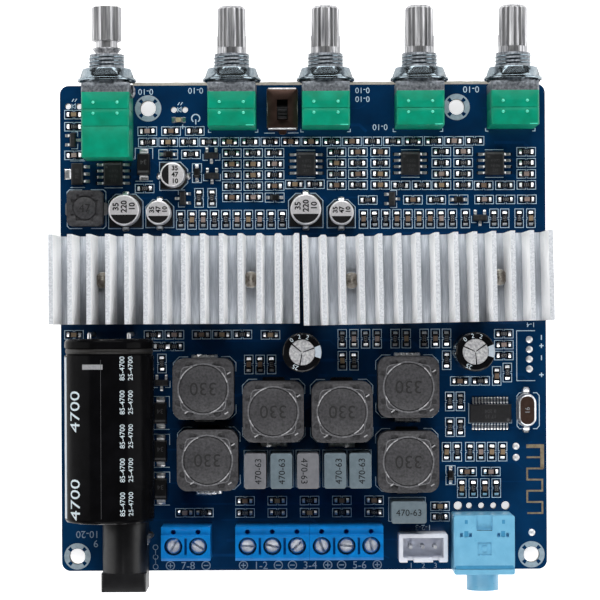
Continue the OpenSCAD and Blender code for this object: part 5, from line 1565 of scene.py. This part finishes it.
@dataclass(frozen=True)
class Coils:
    """Shielded inductors with pressed figures, varnish round their drums and soldered feet.

    Attributes:
        figure: Figure pressed into the large coils.
        drum_r: Radius of a large coil's drum.
        runs: Arcs of painted glint on the varnish round a drum, each with its start and span in degrees.
        glints: Spots of painted glint beside the corners, from the coil's centre.
        soldered: Places of coils from the board's centre, with the side whose solder shows.
    """

    figure: str = "330"
    drum_r: float = 5.1
    runs: tuple[Point2, ...] = ((112, 46), (22, 34), (196, 22), (292, 40))
    glints: tuple[Point2, ...] = ((-3.3, -4.7), (4.7, -4.7), (5.1, 3.3))
    soldered: tuple[tuple[float, float, int], ...] = (
        (-20.4, -12.4, 1), (-19.6, -26.9, -1), (-6.2, -17.1, -1), (7.8, -17.2, -1), (21.3, -12.2, 1), (21.3, -12.2, -1))

    def varnish(self, rng: random.Random) -> Shape:
        """Returns an uneven bead of varnish round one drum, with a tongue in each corner and painted glints in arcs and
        spots.

        Args:
            rng: Source of the bead's unevenness.

        Returns:
            The bead about the drum's axis, at the height of the block's top, with slots 0 and 1.
        """
        rings = []
        for i in range(72):
            a = math.tau * i / 72
            corner = max(0.0, math.cos(4 * (a - math.pi / 4))) ** 3
            r = self.drum_r + 0.06 + 0.75 * corner
            t = 0.15 + 0.05 * corner + rng.uniform(-0.03, 0.03)
            section = [(r + t, -0.12), (r + t * 0.5, 0.02), (r - t * 0.5, 0.04), (r - t, -0.12)]
            rings.append([(q * math.cos(a), q * math.sin(a), z) for q, z in section][::-1])
        bead = sweep(rings, 0, True)
        bead.add(ring(self.drum_r + 0.1, self.drum_r - 0.16, -0.2, 0.02, 0))
        # Slot 1 paints glints: pale arcs on the drum and short strokes beside the corners.
        for start, span in self.runs:
            start, span = start + rng.uniform(-8, 8), span * rng.uniform(0.7, 1.1)
            bead.add(ring(self.drum_r + 0.02, self.drum_r - 0.2, -0.1, 0.06, 1, start, span))
        for x, y in self.glints:
            bead.add(strip([(-0.35, -0.22), (0.35, 0.22)], 0.24, -0.4, 0.03, 1).at(
                x + rng.uniform(-0.2, 0.2), y + rng.uniform(-0.2, 0.2), 0))
        return bead

    def solder(self, rng: random.Random, box: Box, side: int) -> Shape:
        """Returns a wavy row of solder along one foot of a large coil, with a pale strip painted on as its glint.

        Args:
            rng: Source of the waves.
            box: The coil's box.
            side: 1 for the rear foot and -1 for the front one.

        Returns:
            The solder in the part's frame.
        """
        row = Shape()
        for k in range(5):
            reach = (0.75 if side > 0 else 1.25) + rng.uniform(-0.1, 0.2)
            run = [(box.size.y / 2 + out, rise, half) for out, rise, half in
                   ((-0.4, 0.7, 0.62), (0.25, 0.75, 0.66), (reach - 0.15, 0.5, 0.6), (reach, 0.05, 0.5))]
            row.add(fillet(run, side).at(box.mid.x + 1.05 * (k - 2), box.mid.y, TOP))
        edge = side * (box.size.y / 2 + (0.4 if side > 0 else 0.75))
        for k in range(4):
            path = [(1.15 * (k - 2) + 0.3 * j, edge + rng.uniform(-0.12, 0.12)) for j in range(4)]
            # Slot 1: a wavy pale strip along the solder, a painted glint.
            row.add(strip(path, 0.3, 0.3, 0.84, 1).at(box.mid.x + 0.1, box.mid.y, TOP))
        return row

    def dress(self, shop: Workshop) -> None:
        """Dresses the six large coils and the small one."""
        rng = random.Random(17)
        for node in ("output_inductors", "small_inductor"):
            shop.coat(node, FERRITE)
            shop.soften(node, 0.2)
        feet = shop.coat("inductor_terminals", TINNED)
        feet.data.materials.append(TIN_PAINTED_SHADE.make())
        marks, glue, solder = Shape(), Shape(), Shape()
        for box in solid_boxes(shop.node("output_inductors")):
            x, y, top = box.mid.x, box.mid.y, box.hi.z
            marks.add(digits(self.figure, 2.7, 0.05).at(x, y, top - 0.01, 180))
            glue.add(self.varnish(rng).at(x, y, top))
            for px, py, side in self.soldered:
                if math.hypot(px - x, py + CENTRE_Y - y) < 3:
                    solder.add(self.solder(rng, box, side))
            # Feet just behind each coil take slot 1, painted dark as the coil's shade.
            for face in feet.data.polygons:
                if abs(face.center.x / MM - x) < 4 and 0 < face.center.y / MM - y < 8:
                    face.material_index = 1
        small = node_box("small_inductor")
        marks.add(digits("47", 1.7, 0.05).at(small.mid.x, small.mid.y, small.hi.z - 0.01))
        shop.piece("coil_figures", marks, (COIL_INK,))
        shop.piece("coil_varnish_and_painted_glints", glue, (GLUE, GLUE_PAINTED_GLINT))
        shop.piece("coil_solder_and_painted_glint", solder, (SOLDER, SOLDER_PAINTED_GLINT))


@dataclass(frozen=True)
class FilmBoxes:
    """Box film capacitors from two batches, with dark figures."""

    figure: str = "470-63"

    def dress(self, shop: Workshop) -> None:
        """Coats the boxes and prints their figures."""
        obj = shop.coat("film_capacitors", FILM_WARM)
        obj.data.materials.append(FILM_COOL.make())
        boxes = solid_boxes(obj)
        cool = [box for i, box in enumerate(sorted(boxes, key=lambda b: b.mid.x)) if i in (1, 3, 4, 5)]
        for face in obj.data.polygons:
            spot = face.center / MM
            face.material_index = int(any(b.lo.x - 0.1 < spot.x < b.hi.x + 0.1 and b.lo.y - 0.1 < spot.y < b.hi.y + 0.1
                                          for b in cool))
        shop.soften("film_capacitors", 0.12)
        marks, frames = Shape(), Shape()
        for i, box in enumerate(sorted(boxes, key=lambda b: b.mid.x)):
            half_x, half_y = box.size.x / 2 + 0.25, box.size.y / 2 + 0.25
            frames.add(strip([(-half_x, -half_y), (-half_x, half_y), (half_x, half_y), (half_x, -half_y),
                              (-half_x, -half_y)], 0.14, 0, INK).at(box.mid.x, box.mid.y, TOP))
            lying = box.size.x > box.size.y
            turn = 0 if lying else (-90 if i == 2 else 90)
            shift = 0.0 if lying else (0.6, 0.1, -0.75, 0.7, 0.3, 0)[i]
            marks.add(digits(self.figure, 1.35, 0.04).at(box.mid.x + shift, box.mid.y, box.hi.z - 0.01, turn))
        shop.piece("film_figures", marks, (DARK_INK_AND_SHADE,))
        shop.piece("film_outlines", frames, (LEGEND,))


@dataclass(frozen=True)
class Connectors:
    """Terminals, header and jacks: softened mouldings and small metal.

    Attributes:
        crystal_l: Length of the crystal's can.
        jack_marks: Places of painted shade on the audio jack where it is set back, from the middle of its rear edge,
            with width and length.
    """

    crystal_l: float = 6.9
    jack_marks: tuple[tuple[float, float, float, float], ...] = (
        (-3.67, -1.25, 0.6, 0.8), (3.83, -1.25, 0.6, 0.8), (-3.67, -3.67, 0.85, 1.15), (3.74, -3.67, 0.85, 1.15),
        (0.0, -10.4, 11.6, 0.7))

    def dress(self, shop: Workshop) -> None:
        """Softens the mouldings and adds the crystal's solder and the lamp's ends."""
        for node in ("dc_terminal_housing", "left_output_housing", "right_output_housing"):
            shop.coat(node, TERMINAL)
            shop.soften(node, 0.12)
        for node, finish, edge in (("header_shroud", WHITE, 0.12), ("audio_jack_body", JACK, 0.2),
                                   ("power_jack_body", BLACK, 0.25)):
            shop.coat(node, finish)
            shop.soften(node, edge)
        for i in range(1, 7):
            shop.soften(f"output_screw_{i}", 0.07)
        for i in (1, 2):
            shop.soften(f"dc_screw_{i}", 0.07)
        box = node_box("crystal")
        lid = Shape()
        rings = []
        for z, cut in ((0.05, 0.0), (0.3, 0.0), (0.32, 0.12), (2.75, 0.12), (3.1, 0.24), (3.3, 0.42), (3.34, 0.55)):
            outline = rounded(3.95 - 2 * cut, self.crystal_l - 2 * cut, (3.95 - 2 * cut) / 2 - 0.01, 12)
            rings.append([(x, y, z) for x, y in outline])
        lid.add(sweep(rings, 0))
        # The lid's top plate, slot 1, is painted dark brown as a reflection.
        lid.add(prism(rounded(2.8, self.crystal_l - 1.15, 1.38, 12), 3.3, 3.36, 1))
        lid.add(digits("16", 1.0, INK, 2).at(0, 0, 3.355, 90))
        for side in (-1, 1):
            run = [(self.crystal_l / 2 + reach, rise, half) for reach, rise, half in
                   ((-0.3, 0.8, 0.7), (0.3, 0.9, 0.85), (0.8, 0.6, 0.8), (1.25, 0.06, 0.5))]
            lid.add(fillet(run, side, 3))
        shop.piece("crystal_parts", lid.at(box.mid.x, box.mid.y, TOP), (TIN_END, CRYSTAL_PAINTED_REFLECTION, PALE_INK_AND_HIGHLIGHT, SOLDER),
                   replaces=("crystal",))
        face = node_box("audio_jack_body")
        marks = Shape()
        # Deeper blue plates paint the shade where the jack is set back.
        for x, y, width, length in self.jack_marks:
            marks.add(block(width, length, 0.06, 0.02).at(face.mid.x + x, face.hi.y + y, face.hi.z - 0.04))
        # A thin dark line: painted shade in the groove under the jack's notch.
        marks.add(block(3.1, 0.12, 0.06, 0.02, 1).at(face.mid.x, face.hi.y - 2.95, face.hi.z - 0.04))
        shop.piece("audio_jack_painted_shade", marks, (JACK_SHADE, DARK_INK_AND_SHADE))
        jack = node_box("power_jack_body")
        tab = block(0.4, 1.9, 5.2, 0.1).at(jack.hi.x - 0.05, CENTRE_Y - 43.2, TOP)
        shop.piece("power_jack_side_tab", tab, (TIN_END,))
        shop.coat("indicator_lamp", RESIN)
        lamp = node_box("indicator_lamp")
        ends = Shape()
        for side in (-1, 1):
            cap = block(0.5, lamp.size.y + 0.06, lamp.size.z + 0.04, 0.08)
            ends.add(cap.at(lamp.mid.x + side * (lamp.size.x / 2 - 0.2), lamp.mid.y, TOP + 0.01))
            run = [(lamp.size.x / 2 + out, rise, half) for out, rise, half in
                   ((-0.1, 0.5, 0.6), (0.2, 0.35, 0.6), (0.5, 0.05, 0.55))]
            ends.add(fillet(run, side).at(lamp.mid.x, lamp.mid.y, TOP, 90))
        shop.piece("lamp_ends", ends, (SOLDER,))


@dataclass(frozen=True)
class Studio:
    """White sweep, soft side lights and the camera straight above the board.

    Attributes:
        focal_px: Camera focal length in pixels of a 600-pixel picture.
        camera_high: Height of the camera above the board's underside.
        board_px: Where the board's middle falls in the picture, in pixels from its middle, up and right.
        turn: Camera turn about Z in degrees.
        floor_z: Height of the white table.
        floor_glow: How much the camera sees the table lifted towards white.
    """

    focal_px: float = 2328.0
    camera_high: float = 481.6
    board_px: Point2 = (3.4, -27.4)
    turn: float = -0.27
    floor_z: float = -2.02
    floor_glow: float = 0.7
    middle_y: float = 47.0

    def camera(self) -> None:
        """Sets the camera straight above the board's middle."""
        data = bpy.data.cameras.new("camera")
        data.sensor_width = 36.0
        data.lens = self.focal_px * data.sensor_width / 600
        data.shift_x = -self.board_px[0] / 600
        data.shift_y = -self.board_px[1] / 600
        data.clip_start = 0.01
        data.clip_end = 10.0
        camera = bpy.data.objects.new("camera", data)
        camera.location = (0, self.middle_y * MM, self.camera_high * MM)
        camera.rotation_euler = (0, 0, math.radians(self.turn))
        bpy.context.scene.collection.objects.link(camera)
        bpy.context.scene.camera = camera

    def floor(self) -> None:
        """Lays a white table that keeps only a faint shadow."""
        mesh = bpy.data.meshes.new("table")
        half = 1.2
        z = self.floor_z * MM
        mesh.from_pydata([(-half, -half, z), (half, -half, z), (half, half, z), (-half, half, z)], [], [(0, 1, 2, 3)])
        table = bpy.data.objects.new("table", mesh)
        material = bpy.data.materials.new("paper_white_sweep")
        material.use_nodes = True
        shader = material.node_tree.nodes["Principled BSDF"]
        shader.inputs["Base Color"].default_value = linear("#f4f4f4")
        shader.inputs["Roughness"].default_value = 0.9
        shader.inputs["Emission Color"].default_value = (1, 1, 1, 1)
        tree = material.node_tree
        sees = add_node(tree, "LightPath")
        clear = add_node(tree, "Math", {0: sees.outputs["Is Glossy Ray"], 1: sees.outputs["Is Transmission Ray"]},
                         operation="MAXIMUM")
        direct = add_node(tree, "Math", {0: sees.outputs["Is Camera Ray"], 1: clear.outputs[0]}, operation="MAXIMUM")
        glow = add_node(tree, "Math", {0: direct.outputs[0], 1: self.floor_glow}, operation="MULTIPLY")
        tree.links.new(glow.outputs[0], shader.inputs["Emission Strength"])
        mesh.materials.append(material)
        bpy.context.scene.collection.objects.link(table)

    def lamp(self, name: str, place: Point3, size: Point2, power: float) -> None:
        """Hangs one soft rectangular lamp aimed at the board's middle.

        Args:
            name: The lamp's name.
            place: Where it hangs, in millimetres from the board's middle.
            size: Its width and height in millimetres.
            power: Its power in watts.
        """
        data = bpy.data.lights.new(name, "AREA")
        data.shape = "RECTANGLE"
        data.size, data.size_y = size[0] * MM, size[1] * MM
        data.energy = power
        lamp = bpy.data.objects.new(name, data)
        lamp.location = Vector((place[0], place[1] + self.middle_y, place[2])) * MM
        aim = Vector((0, self.middle_y, 0)) * MM - lamp.location
        lamp.rotation_euler = aim.to_track_quat("-Z", "Y").to_euler()
        bpy.context.scene.collection.objects.link(lamp)

    def sky(self) -> None:
        """Fills the room with soft light, darker straight above and to the sides."""
        world = bpy.data.worlds.new("studio")
        bpy.context.scene.world = world
        world.use_nodes = True
        tree = world.node_tree
        coords = add_node(tree, "TexCoord")
        parts = add_node(tree, "SeparateXYZ", {"Vector": coords.outputs["Generated"]})
        grade = add_node(tree, "MapRange", {"Value": parts.outputs["Z"], "From Min": 0.35, "From Max": 0.92,
                                            "To Min": 1.0, "To Max": 0.14})
        side = add_node(tree, "Math", {0: parts.outputs["Y"]}, operation="ABSOLUTE")
        share = add_node(tree, "MapRange", {"Value": side.outputs[0], "From Min": 0.1, "From Max": 0.75,
                                            "To Min": 0.45, "To Max": 1.0})
        glow = add_node(tree, "Math", {0: grade.outputs[0], 1: share.outputs[0]}, operation="MULTIPLY")
        tree.links.new(glow.outputs[0], tree.nodes["Background"].inputs["Strength"])

    def build(self) -> None:
        """Sets up the camera, the table, the lamps and the sky."""
        bpy.context.scene.view_settings.view_transform = "Standard"
        self.camera()
        self.floor()
        self.sky()
        self.lamp("left_softbox", (-600, 60, 210), (300, 500), 1.1)
        self.lamp("right_softbox", (600, 60, 210), (300, 500), 1.5)
        self.lamp("rear_softbox", (0, 560, 420), (800, 420), 5.0)
        self.lamp("front_softbox", (0, -560, 420), (800, 420), 4.4)


@dataclass(frozen=True)
class PlainCoats:
    """Finishes of CAD nodes that keep their own mesh."""

    coats: tuple[tuple[Finish, tuple[str, ...]], ...] = (
        (MASK, ("circuit_board",)),
        (SOLDER_DULL, ("solder_joints",)),
        (EXTRUSION, ("heatsink_left", "heatsink_right")),
        (SCREW, ("heatsink_screws",)),
        (EPOXY, ("amplifier_chips", "signal_chips", "diodes", "transistors")),
        (SILICONE, ("thermal_pads",)),
        (GREEN, tuple(f"{pot}_pot_housing" for pot in ("volume", "treble", "level", "crossover", "bass"))),
        (TURNED, tuple(f"{pot}_shaft" for pot in ("volume", "treble", "level", "crossover", "bass"))),
        (CAST, ("pot_fronts",)),
        (NICKEL, ("pot_washers", "pot_nuts")),
        (TINNED, ("pot_pins", "switch_pins", "capacitor_leads", "inductor_terminals",
                  "audio_jack_pins", "power_jack_contacts")),
        (PAD_ROUND, ("header_pins",)),
        (STEEL, ("switch_shell",)),
        (BLACK, ("switch_base", "switch_slider", "can_capacitor_bases", "power_jack_body")),
        (SLEEVE, ("main_capacitor", "radial_capacitors")),
        (CAN, ("can_capacitors",)),
        (FERRITE, ("output_inductors", "small_inductor")),
        (FILM_WARM, ("film_capacitors",)),
        (TERMINAL, ("dc_terminal_housing", "left_output_housing", "right_output_housing")),
        (BRASS, ("terminal_clamps",)),
        (SCREW_HEAD, tuple(f"dc_screw_{i}" for i in (1, 2)) + tuple(f"output_screw_{i}" for i in range(1, 7))),
        (WHITE, ("header_shroud",)),
        (JACK, ("audio_jack_body",)),
        (CRYSTAL_PAINTED_REFLECTION, ("crystal",)),
        (GLAZE, ("chip_resistors",)),
        (CERAMIC[0], ("chip_capacitors",)),
        (RESIN, ("indicator_lamp",)),
    )

    def dress(self, shop: Workshop) -> None:
        """Gives each node its finish."""
        for finish, nodes in self.coats:
            for node in nodes:
                shop.coat(node, finish)


def main() -> None:
    logging.basicConfig(level=logging.INFO, format="%(message)s")
    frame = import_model()
    shop = Workshop(frame)
    PlainCoats().dress(shop)
    for group in (BoardPrint(), ChipField(), LeadedChips(), Heatsinks(), Controls(), SlideSwitch(), Capacitors(),
                  Coils(), FilmBoxes(), Connectors()):
        group.dress(shop)
    Studio().build()


if __name__ == "__main__":
    main()
